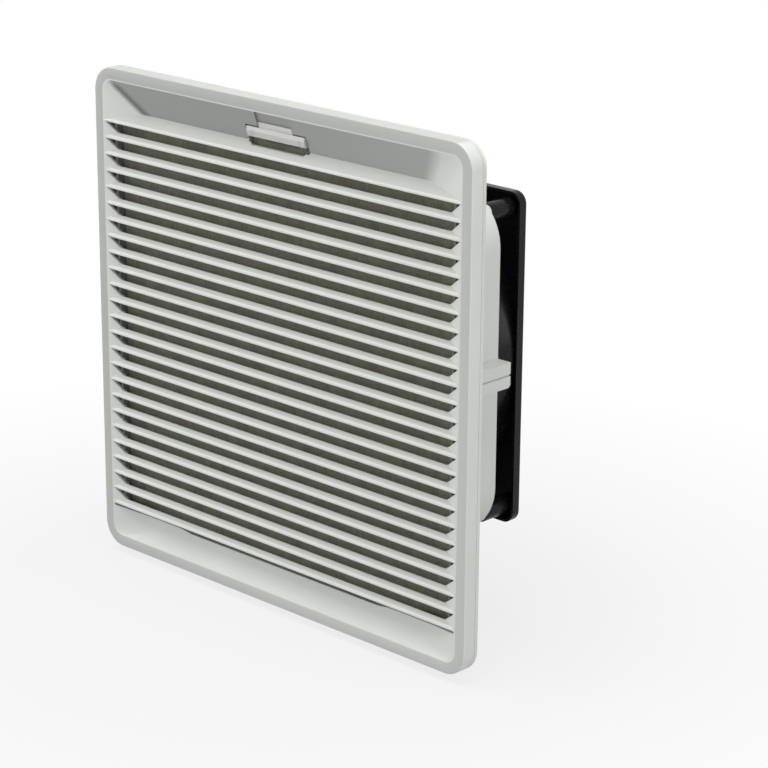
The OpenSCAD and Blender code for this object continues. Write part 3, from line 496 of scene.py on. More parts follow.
def tidy_mesh(target, smooth):
    """Closes doubled points, turns the faces outward and sets the shading."""
    work = bmesh.new()
    work.from_mesh(target.data)
    bmesh.ops.remove_doubles(work, verts=work.verts, dist=0.000002)
    bmesh.ops.recalc_face_normals(work, faces=work.faces)
    work.to_mesh(target.data)
    work.free()
    target.data.shade_smooth()
    target.data.set_sharp_from_angle(angle=math.radians(smooth))


def piece(target, body, material, slot, *replaced):
    """Gives a mesh object its material and body and hides the CAD nodes it stands for. Its slot is not used."""
    target.data.materials.clear()
    target.data.materials.append(material)
    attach(target, body)
    if replaced:
        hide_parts(*replaced)


def joined(*parts):
    """Several (points, faces) as one."""
    points, faces = [], []
    for part_points, part_faces in parts:
        start = len(points)
        points += part_points
        faces += [tuple(start + index for index in face) for face in part_faces]
    return points, faces


def ring(side, top, foot, radius, y, steps=10):
    """Rounded rectangle at one depth, from the upper right corner round to the lower right."""
    corners = ((side - radius, top - radius), (radius - side, top - radius),
               (radius - side, foot + radius), (side - radius, foot + radius))
    points = []
    for index, (x, z) in enumerate(corners):
        for step in range(steps + 1):
            turn = math.radians(90 * (index + step / steps))
            points.append((x + radius * math.cos(turn), y, z + radius * math.sin(turn)))
    return points


def loft(rings, around=False, caps=False):
    """Skin over rings of equal length. around closes the last onto the first, and caps closes both ends."""
    count = len(rings[0])
    points = [point for one in rings for point in one]
    faces = []
    for first in range(len(rings) if around else len(rings) - 1):
        second = (first + 1) % len(rings)
        for near in range(count):
            far = (near + 1) % count
            faces.append((first * count + near, first * count + far, second * count + far, second * count + near))
    if caps:
        faces.append(tuple(reversed(range(count))))
        faces.append(tuple(range(len(points) - count, len(points))))
    return points, faces


def bar(profile, start_x, end_x):
    """A (depth, height) profile drawn out along X."""
    return loft([[(x, y, z) for y, z in profile] for x in (start_x, end_x)], caps=True)


def prism(outline, start_y, end_y):
    """An (across, height) outline drawn out along the depth."""
    return loft([[(x, y, z) for x, z in outline] for y in (start_y, end_y)], caps=True)


def box_outline(low_x, low_z, high_x, high_z):
    return [(low_x, low_z), (high_x, low_z), (high_x, high_z), (low_x, high_z)]


def arc(first, second, radius, start=0, end=360, steps=40):
    """Points round a centre between two turns in degrees, without the last one where the arc closes."""
    turns = [math.radians(start + (end - start) * step / steps) for step in range(steps + (end - start < 360))]
    return [(first + radius * math.cos(turn), second + radius * math.sin(turn)) for turn in turns]


def rounded(profile, radii):
    """A closed profile with its corners rounded, each by its own radius."""
    made, count = [], len(profile)
    for index, radius in enumerate(radii):
        corner = Vector(profile[index])
        back = Vector(profile[index - 1]) - corner
        ahead = Vector(profile[(index + 1) % count]) - corner
        if not radius:
            made.append(tuple(corner))
            continue
        half = back.angle(ahead) / 2
        reach = min(radius / math.tan(half), back.length * 0.48, ahead.length * 0.48)
        start, end = corner + back.normalized() * reach, corner + ahead.normalized() * reach
        for step in range(CORNER_STEPS + 1):
            share = step / CORNER_STEPS
            made.append(tuple((1 - share) ** 2 * start + 2 * share * (1 - share) * corner + share ** 2 * end))
    return made


def turned(profile, steps):
    """A (radius, depth) profile turned about the fan's axis."""
    rings = []
    for step in range(steps):
        turn = 2 * math.pi * step / steps
        rings.append([(radius * math.cos(turn), y, radius * math.sin(turn)) for radius, y in profile])
    return loft(rings, around=True)


def carve(target, part):
    """Cuts a shape out of a mesh object."""
    cutter = solid("cutter", *part)
    change = target.modifiers.new("carve", "BOOLEAN")
    change.operation = "DIFFERENCE"
    change.solver = "EXACT"
    change.object = cutter
    bpy.context.view_layer.update()
    shaped = bpy.data.meshes.new_from_object(target.evaluated_get(bpy.context.evaluated_depsgraph_get()))
    target.modifiers.clear()
    target.data = shaped
    bpy.data.objects.remove(cutter)


class FilterFanColours(bpy.types.PropertyGroup):
    moulding: FloatVectorProperty(name="Mouldings", description="Light grey of the cover and the frame",
                                  subtype="COLOR", min=0, max=1, default=(0.585, 0.605, 0.57))
    mat: FloatVectorProperty(name="Filter mat", description="Fibres of the mat behind the louvres",
                             subtype="COLOR", min=0, max=1, default=(0.128, 0.13, 0.09))
    black: FloatVectorProperty(name="Black paint", description="Fan plate, duct and rotor",
                               subtype="COLOR", min=0, max=1, default=(0.006, 0.006, 0.007))
    blades: FloatVectorProperty(name="Blades", description="Impeller moulding",
                                subtype="COLOR", min=0, max=1, default=(0.02, 0.02, 0.022))
    seal: FloatVectorProperty(name="Seal", description="Foam strip behind the flange",
                              subtype="COLOR", min=0, max=1, default=(0.03, 0.03, 0.032))


class FilterFanPaintedShades(bpy.types.PropertyGroup):
    # Shares of the moulding's colour that paint shade onto the cover: the rim, the trough, its left fold, the
    # louvres' slopes, a shadow line below the last louvre and the top wall.
    rim: FloatProperty(name="Rim", description="Shade of the cover's flat rim", subtype="FACTOR", min=0, max=1,
                       default=0.73)
    rim_change: FloatProperty(name="Rim change", description="Change of that shade from the middle to both corners",
                              subtype="FACTOR", min=0, max=0.2, default=0.07)
    trough: FloatProperty(name="Trough", description="Shade of the trough's upper face", subtype="FACTOR", min=0,
                          max=1, default=0.48)
    trough_change: FloatProperty(name="Trough change", description="Rise of that shade towards the lower right",
                                 subtype="FACTOR", min=0, max=1, default=0.2)
    fold: FloatProperty(name="Fold", description="Shade along the trough's left fold", subtype="FACTOR", min=0,
                        max=1, default=0.2)
    louvre: FloatProperty(name="Louvres", description="Shade of the louvres behind their front edges",
                          subtype="FACTOR", min=0, max=1, default=0.79)
    slit: FloatProperty(name="Slit", description="Shade of the slit below the last louvre", subtype="FACTOR", min=0,
                        max=1, default=0.16)
    top: FloatProperty(name="Top wall", description="Shade of the wall that faces up", subtype="FACTOR", min=0,
                       max=1, default=0.79)


class FilterFanDetail(bpy.types.PropertyGroup):
    edge_round: FloatProperty(name="Edge rounding", description="Rounding of the louvres' front edges",
                              unit="LENGTH", min=0.0001, max=0.0005, default=0.0004)
    mat_loft: FloatProperty(name="Mat loft", description="Unevenness of the mat's faces",
                            unit="LENGTH", min=0, max=0.001, default=0.00035)
    blade_steps: IntProperty(name="Blade steps", description="Fineness of the impeller blades",
                             min=6, max=40, default=20)


class FilterFanStage(bpy.types.PropertyGroup):
    sky: FloatProperty(name="Room light", description="Even light from all round", min=0, max=2, default=0.2)
    top: FloatProperty(name="Top lamp", description="Power of the large lamp overhead in watts", min=0, max=200,
                       default=42)
    right: FloatProperty(name="Right lamp", description="Power of the lamp on the right in watts", min=0, max=200,
                         default=20)
    left: FloatProperty(name="Left lamp", description="Power of the lamp on the left in watts", min=0, max=200,
                        default=15)
    front: FloatProperty(name="Front lamp", description="Power of the lamp in front in watts", min=0, max=200,
                         default=17)


class FILTER_FAN_OT_cover(bpy.types.Operator):
    """Build the louvred front cover with its dished field"""

    bl_idname = "filter_fan.cover"
    bl_label = "Front cover"

    def execute(self, context):
        colour, shades = context.scene.fan_colours.moulding, context.scene.fan_shades
        # Masks where shade is painted into the cover's colour, each with its shares at the upper left and the lower
        # right.
        shade_regions = [(on_trough, shades.trough, shades.trough + shades.trough_change),
                   (on_fold, shades.fold, shades.fold), (in_painted_slit, shades.slit, shades.slit),
                   (on_top, shades.top, shades.top),
                   (on_rim, shades.rim - shades.rim_change, shades.rim + shades.rim_change)]
        plain = moulded("cover_plastic", colour, gloss=0.4, shade_regions=shade_regions)
        # The louvres and the trough's face get a further painted shade on their sloping faces.
        slopes = [(on_slopes, shades.louvre, shades.louvre)]
        louvred = moulded("louvre_plastic", colour, gloss=0.4, shade_regions=slopes + shade_regions)
        edge_round = context.scene.fan_detail.edge_round / MM
        piece(cover_face(), "cover", plain, "cover_plastic", "front_cover")
        piece(solid("cover_louvres", *louvre_bars(edge_round)), "cover", louvred, "cover_plastic")
        piece(trough_face(edge_round), "cover", louvred, "cover_plastic")
        piece(solid("cover_fittings", *cover_fittings()), "cover", plain, "cover_plastic")
        skirts = [prism(box_outline(middle - SKIRT_T / 2, -SKIRT_HALF, middle + SKIRT_T / 2, SKIRT_HALF),
                        RIM_Y + SKIRT_BACK, COVER_REAR_Y) for middle in (-SKIRT_X, SKIRT_X)]
        # The skirts take a dark colour in the foam finish as a painted shade at the ends of the louvre gaps.
        shaded_skirt = foam("skirt_painted_shade", (0.15, 0.155, 0.13))
        piece(solid("cover_skirts", *joined(*skirts)), "cover", shaded_skirt, "seal")
        dress("hinge_pins", metal("pin_steel", (0.62, 0.62, 0.6), 0.3))
        return {"FINISHED"}


def dish_ring(turn, grow=0.0, back=0.0):
    """Outline of the dished field at one turn of its cove, grown outward and set back."""
    depth_share = math.sin(turn) / math.sin(COVE_TURN)
    height_share = (1 - math.cos(turn)) / (1 - math.cos(COVE_TURN))
    return ring(DISH_HALF - CHEEK_RUN * depth_share + grow, DISH_HALF - TROUGH_H * depth_share + grow,
                COVE_H * height_share - DISH_HALF - grow, DISH_CORNER + DISH_CORNER_GROWTH * depth_share,
                RIM_Y + DISH_DEPTH * depth_share + back)


def cover_face():
    """Shell of the cover: side wall, rim and dished walls round the open louvre field."""
    def slab(half, radius, y):
        return ring(half, half, -half, radius, y)

    outside = [slab(FRONT_HALF, FRONT_CORNER, COVER_REAR_Y)]
    for step in range(ROUND_STEPS + 1):
        turn = math.radians(90 * step / ROUND_STEPS)
        inset = OUTER_ROUND * (1 - math.cos(turn))
        outside.append(slab(FRONT_HALF - inset, FRONT_CORNER - inset,
                            RIM_Y + OUTER_ROUND * (1 - math.sin(turn))))
    turns = [COVE_TURN * (COVE_START + (1 - COVE_START) * step / COVE_STEPS) for step in range(COVE_STEPS + 1)]
    front = [slab(DISH_HALF + RIM_LIP, DISH_CORNER + RIM_LIP, RIM_Y)] + [dish_ring(turn) for turn in turns]
    rear = [dish_ring(turn, COVER_WALL / 2, COVER_WALL) for turn in reversed(turns)]
    inner = FRONT_HALF - COVER_WALL
    inner_corner = FRONT_CORNER - COVER_WALL
    rear += [slab(inner, inner_corner, RIM_Y + COVER_WALL), slab(inner, inner_corner, COVER_REAR_Y)]
    face = solid("cover_face", *loft(outside + front + rear, around=True))
    carve(face, prism(box_outline(-WINDOW_HALF, WINDOW_FOOT, WINDOW_HALF, FIRST_EDGE_Z + 1), RIM_Y - 1, 0))
    carve(face, prism([(-SLOT_FOOT_HALF, SLOT_FOOT), (SLOT_FOOT_HALF, SLOT_FOOT), (SLOT_TOP_HALF, WINDOW_FOOT + 0.5),
                       (-SLOT_TOP_HALF, WINDOW_FOOT + 0.5)], RIM_Y + 3, COVER_REAR_Y + 1))
    gaps = []
    for index in range(1, LOUVRE_COUNT + 1):
        upper, lower = louvre_edge(index - 1), louvre_edge(index) + LOUVRE_RISE
        gaps.append(prism([(-GAP_TIP, upper), (GAP_TIP, upper), (GAP_FOOT, lower), (-GAP_FOOT, lower)],
                          RIM_Y - 1, COVER_REAR_Y + 1))
    carve(face, joined(*gaps))
    for cut in (latch_aperture(), latch_room(), tongue_recess(), hinge_notches(), hinge_relief()):
        carve(face, cut)
    tidy_mesh(face, 24)
    return face


def louvre_edge(index):
    """Height of a louvre's front edge, counted from the lip of the trough."""
    return FIRST_EDGE_Z - index * LOUVRE_PITCH


def latch_face(z, out=0.0):
    """Depth of the trough's upper face at a height, or of a face that stands out from it."""
    return RIM_Y + DISH_DEPTH * (DISH_HALF - z) / TROUGH_H - out


def latch_aperture():
    """Opening for the latch across the fold of the trough."""
    foot = TROUGH_Z - 2.4
    return prism([(-OPENING_HALF, OPENING_TOP), (-OPENING_HALF, TROUGH_Z + 2.4), (-OPENING_FOOT_HALF, foot),
                  (OPENING_FOOT_HALF, foot), (OPENING_HALF, TROUGH_Z + 2.2), (OPENING_HALF, OPENING_TOP)],
                 RIM_Y - 1, LATCH_Y + 3)


def latch_room():
    """Room behind the trough in which the latch turns."""
    return prism(box_outline(-OPENING_HALF, TROUGH_Z - 2.2, OPENING_HALF, OPENING_TOP),
                 RIM_Y + DISH_DEPTH - 1, COVER_REAR_Y + 1)


def tongue_recess():
    """Recess round the thumb tongue of the latch."""
    foot, top = LATCH_Z - 1.6, DISH_HALF - 0.4
    return bar([(RIM_Y - 1, foot), (latch_face(foot, -RECESS_SINK), foot), (latch_face(top, -RECESS_SINK), top),
                (RIM_Y - 1, top)], -RECESS_HALF, RECESS_HALF)


def hinge_notches():
    """Round notches in the lower edge, about the two hinge pins."""
    rear = COVER_REAR_Y + 1
    outline = arc(HINGE_Y, HINGE_Z, NOTCH_R, 90, 270, 18) + [(rear, HINGE_Z - NOTCH_R), (rear, HINGE_Z + NOTCH_R)]
    return joined(*(bar(outline, centre - NOTCH_HALF, centre + NOTCH_HALF) for centre in (-HINGE_X, HINGE_X)))


def hinge_relief():
    """What is rounded off the lower rear edge, about the hinge."""
    rear, foot = COVER_REAR_Y + 1, HINGE_Z - RELIEF_R - 1
    outline = arc(HINGE_Y, HINGE_Z, RELIEF_R, -90, 0, 15) + [(rear, HINGE_Z), (rear, foot), (HINGE_Y, foot)]
    return bar(outline, -FRONT_HALF - 1, FRONT_HALF + 1)


def louvre_bars(edge_round):
    """All louvres, with rounded front edges."""
    slope = math.hypot(LOUVRE_RUN, LOUVRE_RISE - LOUVRE_EDGE)
    back = LOUVRE_T * (LOUVRE_RISE - LOUVRE_EDGE) / slope
    down = LOUVRE_T * LOUVRE_RUN / slope
    parts = []
    for index in range(1, LOUVRE_COUNT + 1):
        z = louvre_edge(index)
        outline = rounded([(LOUVRE_Y, z), (LOUVRE_Y, z + LOUVRE_EDGE), (RIM_Y + LOUVRE_RUN, z + LOUVRE_RISE),
                           (RIM_Y + LOUVRE_RUN + back, z + LOUVRE_RISE - down), (RIM_Y + back, z)],
                          [edge_round, edge_round * 1.6, edge_round, edge_round, 0])
        parts.append(bar(outline, -LOUVRE_HALF, LOUVRE_HALF))
    return joined(*parts)


def trough_face(edge_round):
    """Face that rises back from the lip of the trough, with the latch's opening cut into it."""
    z, floor = FIRST_EDGE_Z, RIM_Y + DISH_DEPTH
    outline = [(LOUVRE_Y, z), (LOUVRE_Y, z + LOUVRE_EDGE), (floor, TROUGH_Z), (floor + COVER_WALL, TROUGH_Z),
               (floor + COVER_WALL, TROUGH_Z - LOUVRE_EDGE), (RIM_Y + COVER_WALL, z)]
    outline = rounded(outline, [edge_round, edge_round * 1.6, 0, 0, 0, 0])
    face = solid("cover_trough", *bar(outline, -LOUVRE_HALF, LOUVRE_HALF))
    carve(face, latch_aperture())
    carve(face, latch_room())
    tidy_mesh(face, 35)
    return face


def cover_fittings():
    """Bosses of the latch and of the hinge."""
    root, foot, top = latch_face(LATCH_Z, -0.4), LATCH_Z - BOSS_R, LATCH_Z + BOSS_R
    stem = [(root, foot), (LATCH_Y, foot), (LATCH_Y, top), (root, top)]
    ledge = [(HINGE_Y - EYE_R, HINGE_Z - EYE_LEDGE), (HINGE_Y + EYE_R, HINGE_Z - EYE_LEDGE),
             (HINGE_Y + EYE_R, HINGE_Z), (HINGE_Y - EYE_R, HINGE_Z)]
    parts = []
    for side in (-1, 1):
        near = side * (OPENING_HALF + BOSS_HALF)
        for profile in (arc(LATCH_Y, LATCH_Z, BOSS_R), stem):
            parts.append(bar(profile, near - BOSS_HALF, near + BOSS_HALF))
        for end in (-1, 1):
            centre = side * HINGE_X + end * EYE_X
            for profile in (arc(HINGE_Y, HINGE_Z, EYE_R), ledge):
                parts.append(bar(profile, centre - EYE_R, centre + EYE_R))
    return joined(*parts)


class FILTER_FAN_OT_latch(bpy.types.Operator):
    """Finish the clear latch and the ribs that show through it"""

    bl_idname = "filter_fan.latch"
    bl_label = "Latch"

    def execute(self, context):
        clear = clear_plastic("latch_plastic", (0.9, 0.91, 0.89))
        piece(solid("latch_bar", *latch_body(), smooth=30), "latch", clear, "clear_plastic", "latch")
        ribbed = moulded("rib_plastic", (0.3, 0.3, 0.28), gloss=0.3)
        piece(solid("latch_ribs", *latch_ribs()), "latch", ribbed, "clear_plastic")
        return {"FINISHED"}


def latch_body():
    """Bar with a bevelled face, its thumb tongue, its pins and the two snap arms."""
    step = LATCH_TOP - LATCH_STEP
    face = [(latch_face(LATCH_FOOT, 1.9), LATCH_FOOT), (latch_face(step, 1.5), step),
            (latch_face(LATCH_TOP, 0.1), LATCH_TOP), (LATCH_Y + BARREL_R, LATCH_TOP),
            (latch_face(LATCH_FOOT, -0.8), LATCH_FOOT)]
    front, rear = LATCH_Y - BARREL_R, LATCH_Y + BARREL_R
    neck = [(front, LATCH_TOP - 0.1), (front, LATCH_Z), (rear, LATCH_Z), (rear, LATCH_TOP - 0.1)]
    parts = [bar(rounded(face, [0.4, 0.12, 0.15, 0, 0.3]), -LATCH_HALF, LATCH_HALF),
             bar(arc(LATCH_Y, LATCH_Z, BARREL_R), -LATCH_HALF, LATCH_HALF), bar(neck, -LATCH_HALF, LATCH_HALF)]
    foot, top = LATCH_TOP - 0.5, LATCH_TOP + TONGUE_H
    tongue = [(latch_face(z, -sink), z) for z, sink in (
        (foot, TONGUE_SINK), (top, TONGUE_SINK), (top, TONGUE_SINK + TONGUE_T), (foot, TONGUE_SINK + TONGUE_T))]
    parts.append(bar(rounded(tongue, [0, 0.2, 0.2, 0]), -TONGUE_HALF, TONGUE_HALF))
    pin_end = OPENING_HALF + PIN_REACH
    parts.append(bar(arc(LATCH_Y, LATCH_Z, PIN_R), -pin_end, pin_end))
    start, barb_start, barb_top = LATCH_Y - 0.5, ARM_END - ARM_BARB_L, ARM_TOP + ARM_BARB
    arm = [(start, ARM_FOOT), (ARM_END, ARM_FOOT), (ARM_END, ARM_TOP), (ARM_END - ARM_BARB_L / 2, barb_top),
           (barb_start, barb_top), (barb_start, ARM_TOP), (start, ARM_TOP)]
    for near, far in ((-ARM_FAR, -ARM_NEAR), (ARM_NEAR, ARM_FAR)):
        parts.append(bar(arm, near, far))
    return joined(*parts)


def latch_ribs():
    """Webs inside the clear bar, which show as fine lines on its face."""
    foot, top, step, half = LATCH_FOOT + 0.5, LATCH_TOP - 0.4, LATCH_TOP - LATCH_STEP, LATCH_HALF - 0.6
    web = [(latch_face(foot, 1.94), foot), (latch_face(step, 1.54), step), (latch_face(top, 0.2), top),
           (latch_face(top, -0.9), top), (latch_face(foot, -0.3), foot)]
    back = [(latch_face(foot, 0.2), foot), (latch_face(top, -0.9), top), (latch_face(top, -1.2), top),
            (latch_face(foot, -0.1), foot)]
    return joined(*(bar(web, x - RIB_HALF, x + RIB_HALF) for x in (-RIB_X, RIB_X)), bar(back, -half, half))


class FILTER_FAN_OT_frame(bpy.types.Operator):
    """Finish the mounting frame, its support grid and the panel clips"""

    bl_idname = "filter_fan.frame"
    bl_label = "Mounting frame"

    def execute(self, context):
        colour = context.scene.fan_colours.moulding
        dress("mounting_frame", moulded("housing_plastic", colour, gloss=0.46))
        dress("filter_grid", moulded("grid_plastic", shade(colour, 0.92), gloss=0.5))
        clip = moulded("clip_plastic", shade(colour, 0.95), gloss=0.36)
        for side in ("right", "top", "left", "bottom"):
            dress(f"clip_{side}", clip)
        dress("clip_pins", metal("clip_pin_steel", (0.6, 0.6, 0.58), 0.3))
        return {"FINISHED"}


class FILTER_FAN_OT_mat(bpy.types.Operator):
    """Lay the fibre mat behind the louvres"""

    bl_idname = "filter_fan.mat"
    bl_label = "Filter mat"

    def execute(self, context):
        colour = context.scene.fan_colours.mat
        loft_mm = context.scene.fan_detail.mat_loft / MM
        mat = solid("filter_mat_fibre", *joined(mat_body(loft_mm), *mat_edges()), smooth=60)
        piece(mat, "frame", fibre_mat("mat_fibres", colour), "filter_fibre", "filter_mat")
        return {"FINISHED"}


def mat_reach(other, clip_only):
    """Half width of the mat at a height, or half height at a width, with the notches for clips and latch arms."""
    def notch(depth, half):
        return depth * (1 - smooth_step(half - 0.8, half + 0.8, abs(other)))

    reach = MAT_HALF - notch(*CLIP_NOTCH)
    return reach if clip_only else min(reach, MAT_HALF - notch(*ARM_NOTCH))


def smooth_step(low, high, value):
    share = min(1, max(0, (value - low) / (high - low)))
    return share * share * (3 - 2 * share)


def mat_body(loft_mm):
    """Two uneven faces joined by soft edges."""
    cells = MAT_CELLS

    def place(column, row, face):
        across, up = 2 * column / cells - 1, 2 * row / cells - 1
        x = across * mat_reach(up * MAT_HALF, True)
        z = up * mat_reach(across * MAT_HALF, up < 0)
        rim_share = max(abs(across), abs(up))
        soft = MAT_SOFT * smooth_step(0.985, 1, rim_share)
        rough = noise.fractal(Vector((x * 0.09, z * 0.09, 5 * face)), 0.9, 2.1, 4) * loft_mm
        depth = MAT_FRONT_Y + 0.4 + soft + rough if face < 0 else MAT_REAR_Y - 0.2 - soft - abs(rough) * 0.5
        return x, depth, z

    points, faces = [], []
    for face in (-1, 1):
        start = len(points)
        points += [place(column, row, face) for row in range(cells + 1) for column in range(cells + 1)]
        for row in range(cells):
            for column in range(cells):
                near = start + row * (cells + 1) + column
                faces.append((near, near + 1, near + cells + 2, near + cells + 1))
    side = (cells + 1) ** 2
    rim = list(range(cells))
    rim += [row * (cells + 1) + cells for row in range(cells)]
    rim += [cells * (cells + 1) + column for column in range(cells, 0, -1)]
    rim += [row * (cells + 1) for row in range(cells, 0, -1)]
    for index, near in enumerate(rim):
        far = rim[(index + 1) % len(rim)]
        faces.append((near, far, far + side, near + side))
    return points, faces


def mat_edges():
    """Crushed edges of the mat on the tray's rim, at both sides."""
    parts = []
    for side in (-1, 1):
        rings = []
        for step in range(EDGE_STEPS + 1):
            z = -EDGE_HALF + 2 * EDGE_HALF * step / EDGE_STEPS
            fray = side * 0.35 * noise.noise(Vector((z * 0.35, side, 0)))
            puff = 0.15 * noise.noise(Vector((z * 0.2, side, 9)))
            rings.append([(side * (MAT_HALF + past) - fray, depth + puff * puffed, z)
                          for past, depth, puffed in EDGE_PROFILE])
        parts.append(loft(rings, caps=True))
    return parts


class FILTER_FAN_OT_seal(bpy.types.Operator):
    """Run the foam seal round the back of the flange"""

    bl_idname = "filter_fan.seal"
    bl_label = "Panel seal"

    def execute(self, context):
        seal = solid("seal_bead", *seal_bead())
        places = (-STUD_PLACE, STUD_PLACE)
        carve(seal, joined(*(prism(arc(across, up, STUD_R, steps=36), -3, 1) for across in places for up in places)))
        tidy_mesh(seal, 50)
        piece(seal, "frame", foam("seal_foam", context.scene.fan_colours.seal), "seal", "panel_gasket")
        return {"FINISHED"}


def seal_bead():
    """Strip with a crowned face, seated in the flange's groove."""
    rings = []
    middle, half = (SEAL_OUTER + SEAL_INNER) / 2, (SEAL_OUTER - SEAL_INNER) / 2
    crown = [(-math.cos(math.radians(turn)), -SEAL_CROWN + SEAL_CROWN * math.sin(math.radians(turn)) ** 0.5)
             for turn in range(0, 181, 12)]
    for share, y in [(-1, SEAL_SEAT_Y), *crown, (1, SEAL_SEAT_Y)]:
        reach = middle + share * half
        corner = SEAL_CORNER + SEAL_CORNER_GROWTH * (share + 1) / 2
        rings.append(ring(reach, reach, -reach, corner, y, steps=12))
    return loft(rings, around=True)


class FILTER_FAN_OT_housing(bpy.types.Operator):
    """Paint the fan plate with its duct and finish its screws"""

    bl_idname = "filter_fan.housing"
    bl_label = "Fan plate and duct"

    def execute(self, context):
        black = context.scene.fan_colours.black
        dress("fan_housing", painted_sheet("plate_paint", black))
        start, end = SLEEVE_SPAN
        sleeve = [(POST_R, start), (SLEEVE_R, start), (SLEEVE_R, end), (POST_R, end)]
        points, faces = turned(rounded(sleeve, [0.1, 0.5, 0.5, 0.1]), 48)
        places = (-POST_PLACE, POST_PLACE)
        sleeves = [([(x + across, y, z + up) for x, y, z in points], faces) for across in places for up in places]
        piece(solid("post_sleeves", *joined(*sleeves)), "frame", painted_sheet("sleeve_paint", black), "seal")
        screw = metal("screw_zinc", (0.68, 0.67, 0.62), 0.28)
        for node in ("plate_screws", "guard_screws", "guard_nuts", "motor_screws"):
            dress(node, screw)
        return {"FINISHED"}


class FILTER_FAN_OT_impeller(bpy.types.Operator):
    """Build the swept blades on their hub and finish the rotor"""

    bl_idname = "filter_fan.impeller"
    bl_label = "Impeller and rotor"

    def execute(self, context):
        colours = context.scene.fan_colours
        blades = solid("impeller_blades", *impeller_body(context.scene.fan_detail.blade_steps), smooth=50)
        piece(blades, "impeller", moulded("blade_plastic", colours.blades, gloss=0.38), "blade_plastic", "impeller")
        dress("rotor_can", painted_sheet("rotor_paint", shade(colours.black, 1.6), gloss=0.36))
        dress("shaft", metal("shaft_steel", (0.66, 0.66, 0.65), 0.18, along=(1, 12, 1)))
        dress("retaining_ring", metal("ring_steel", (0.3, 0.3, 0.31), 0.35))
        return {"FINISHED"}


def blade_point(radius_share, chord_share, side):
    """A point on a blade, from the same rule as in the CAD source."""
    def between(root, tip):
        return root + (tip - root) * radius_share

    radius = between(HUB_R - BLADE_SINK, TIP_R)
    chord, pitch = between(*BLADE_CHORD), math.radians(between(*BLADE_PITCH))
    fullness = 2.6 * (math.sqrt(chord_share) - chord_share) + 0.12
    thick = between(*BLADE_T) * fullness * side / 2
    camber = 4 * BLADE_CAMBER * chord * chord_share * (1 - chord_share)
    along, across = (chord_share - 0.5) * chord, camber + thick
    tangent = along * math.cos(pitch) - across * math.sin(pitch)
    axial = along * math.sin(pitch) + across * math.cos(pitch)
    angle = math.radians(BLADE_SWEEP * radius_share ** 2) + tangent / radius
    return radius * math.cos(angle), (HUB_FRONT_Y + HUB_REAR_Y) / 2 + axial, radius * math.sin(angle)


def impeller_body(steps):
    """Hub ring on the rotor with its blades, each lofted through the given number of stations."""
    parts = [turned(rounded([(ROTOR_R + 0.02, HUB_FRONT_Y), (HUB_R, HUB_FRONT_Y), (HUB_R, HUB_REAR_Y),
                             (ROTOR_R + 0.02, HUB_REAR_Y)], [0.3, 0.8, 0.8, 0.3]), 120)]
    # The points of a section crowd toward its leading edge, where it curves most.
    chord = [(point / steps) ** BLADE_CROWDING for point in range(steps + 1)]
    for index in range(BLADE_COUNT):
        turn = Matrix.Rotation(2 * math.pi * index / BLADE_COUNT, 3, "Y")
        rings = []
        for station in range(steps + 1):
            upper = [blade_point(station / steps, share, 1) for share in chord]
            lower = [blade_point(station / steps, share, -1) for share in reversed(chord[1:-1])]
            rings.append([tuple(turn @ Vector(point)) for point in upper + lower])
        parts.append(loft(rings, caps=True))
    return joined(*parts)


class FILTER_FAN_OT_motor(bpy.types.Operator):
    """Finish the motor's base, stator, winding and bearings"""

    bl_idname = "filter_fan.motor"
    bl_label = "Motor"

    def execute(self, context):
        dress("motor_base", metal("cast_base", (0.5, 0.5, 0.5), 0.5, grain=0.00015, scale=350))
        dress("stator_core", laminated("lamination_steel"))
        dress("stator_winding", metal("winding_copper", (0.75, 0.3, 0.13), 0.25))
        dress("bearings", metal("bearing_steel", (0.7, 0.7, 0.7), 0.15))
        return {"FINISHED"}


class FILTER_FAN_OT_guard(bpy.types.Operator):
    """Finish the wire guard"""

    bl_idname = "filter_fan.guard"
    bl_label = "Finger guard"

    def execute(self, context):
        dress("finger_guard", metal("guard_wire", (0.55, 0.56, 0.57), 0.22))
        return {"FINISHED"}


class FILTER_FAN_OT_terminals(bpy.types.Operator):
    """Finish the terminal block and its screws"""

    bl_idname = "filter_fan.terminals"
    bl_label = "Terminal block"

    def execute(self, context):
        dress("terminal_block", moulded("terminal_plastic", (0.03, 0.03, 0.032), gloss=0.4))
        dress("terminal_screws", metal("terminal_brass", (0.72, 0.52, 0.22), 0.25))
        return {"FINISHED"}


class FILTER_FAN_OT_stage(bpy.types.Operator):
    """Set the floor, the lamps and the camera"""

    bl_idname = "filter_fan.stage"
    bl_label = "Stage"

    def execute(self, context):
        lights = context.scene.fan_stage
        opened_z = HINGE_Z + RIM_Y - HINGE_Y
        corners = [(x * FLOOR_REACH, y * FLOOR_REACH, opened_z - FLOOR_GAP)
                   for x, y in ((-1, -1), (1, -1), (1, 1), (-1, 1))]
        floor = solid("floor", corners, [(0, 1, 2, 3)])
        floor.data.materials.append(floor_finish())
        sky(lights.sky)
        lamp("top_lamp", lights.top, 1.6, (0.0, -0.3, 1.9))
        lamp("right_lamp", lights.right, 1.4, (2.0, 0.3, 0.5))
        lamp("left_lamp", lights.left, 1.4, (-1.8, -1.0, 0.4))
        lamp("front_lamp", lights.front, 1.4, (0.5, -2.1, 0.4))
        camera()
        context.scene.view_settings.view_transform = "Standard"
        return {"FINISHED"}


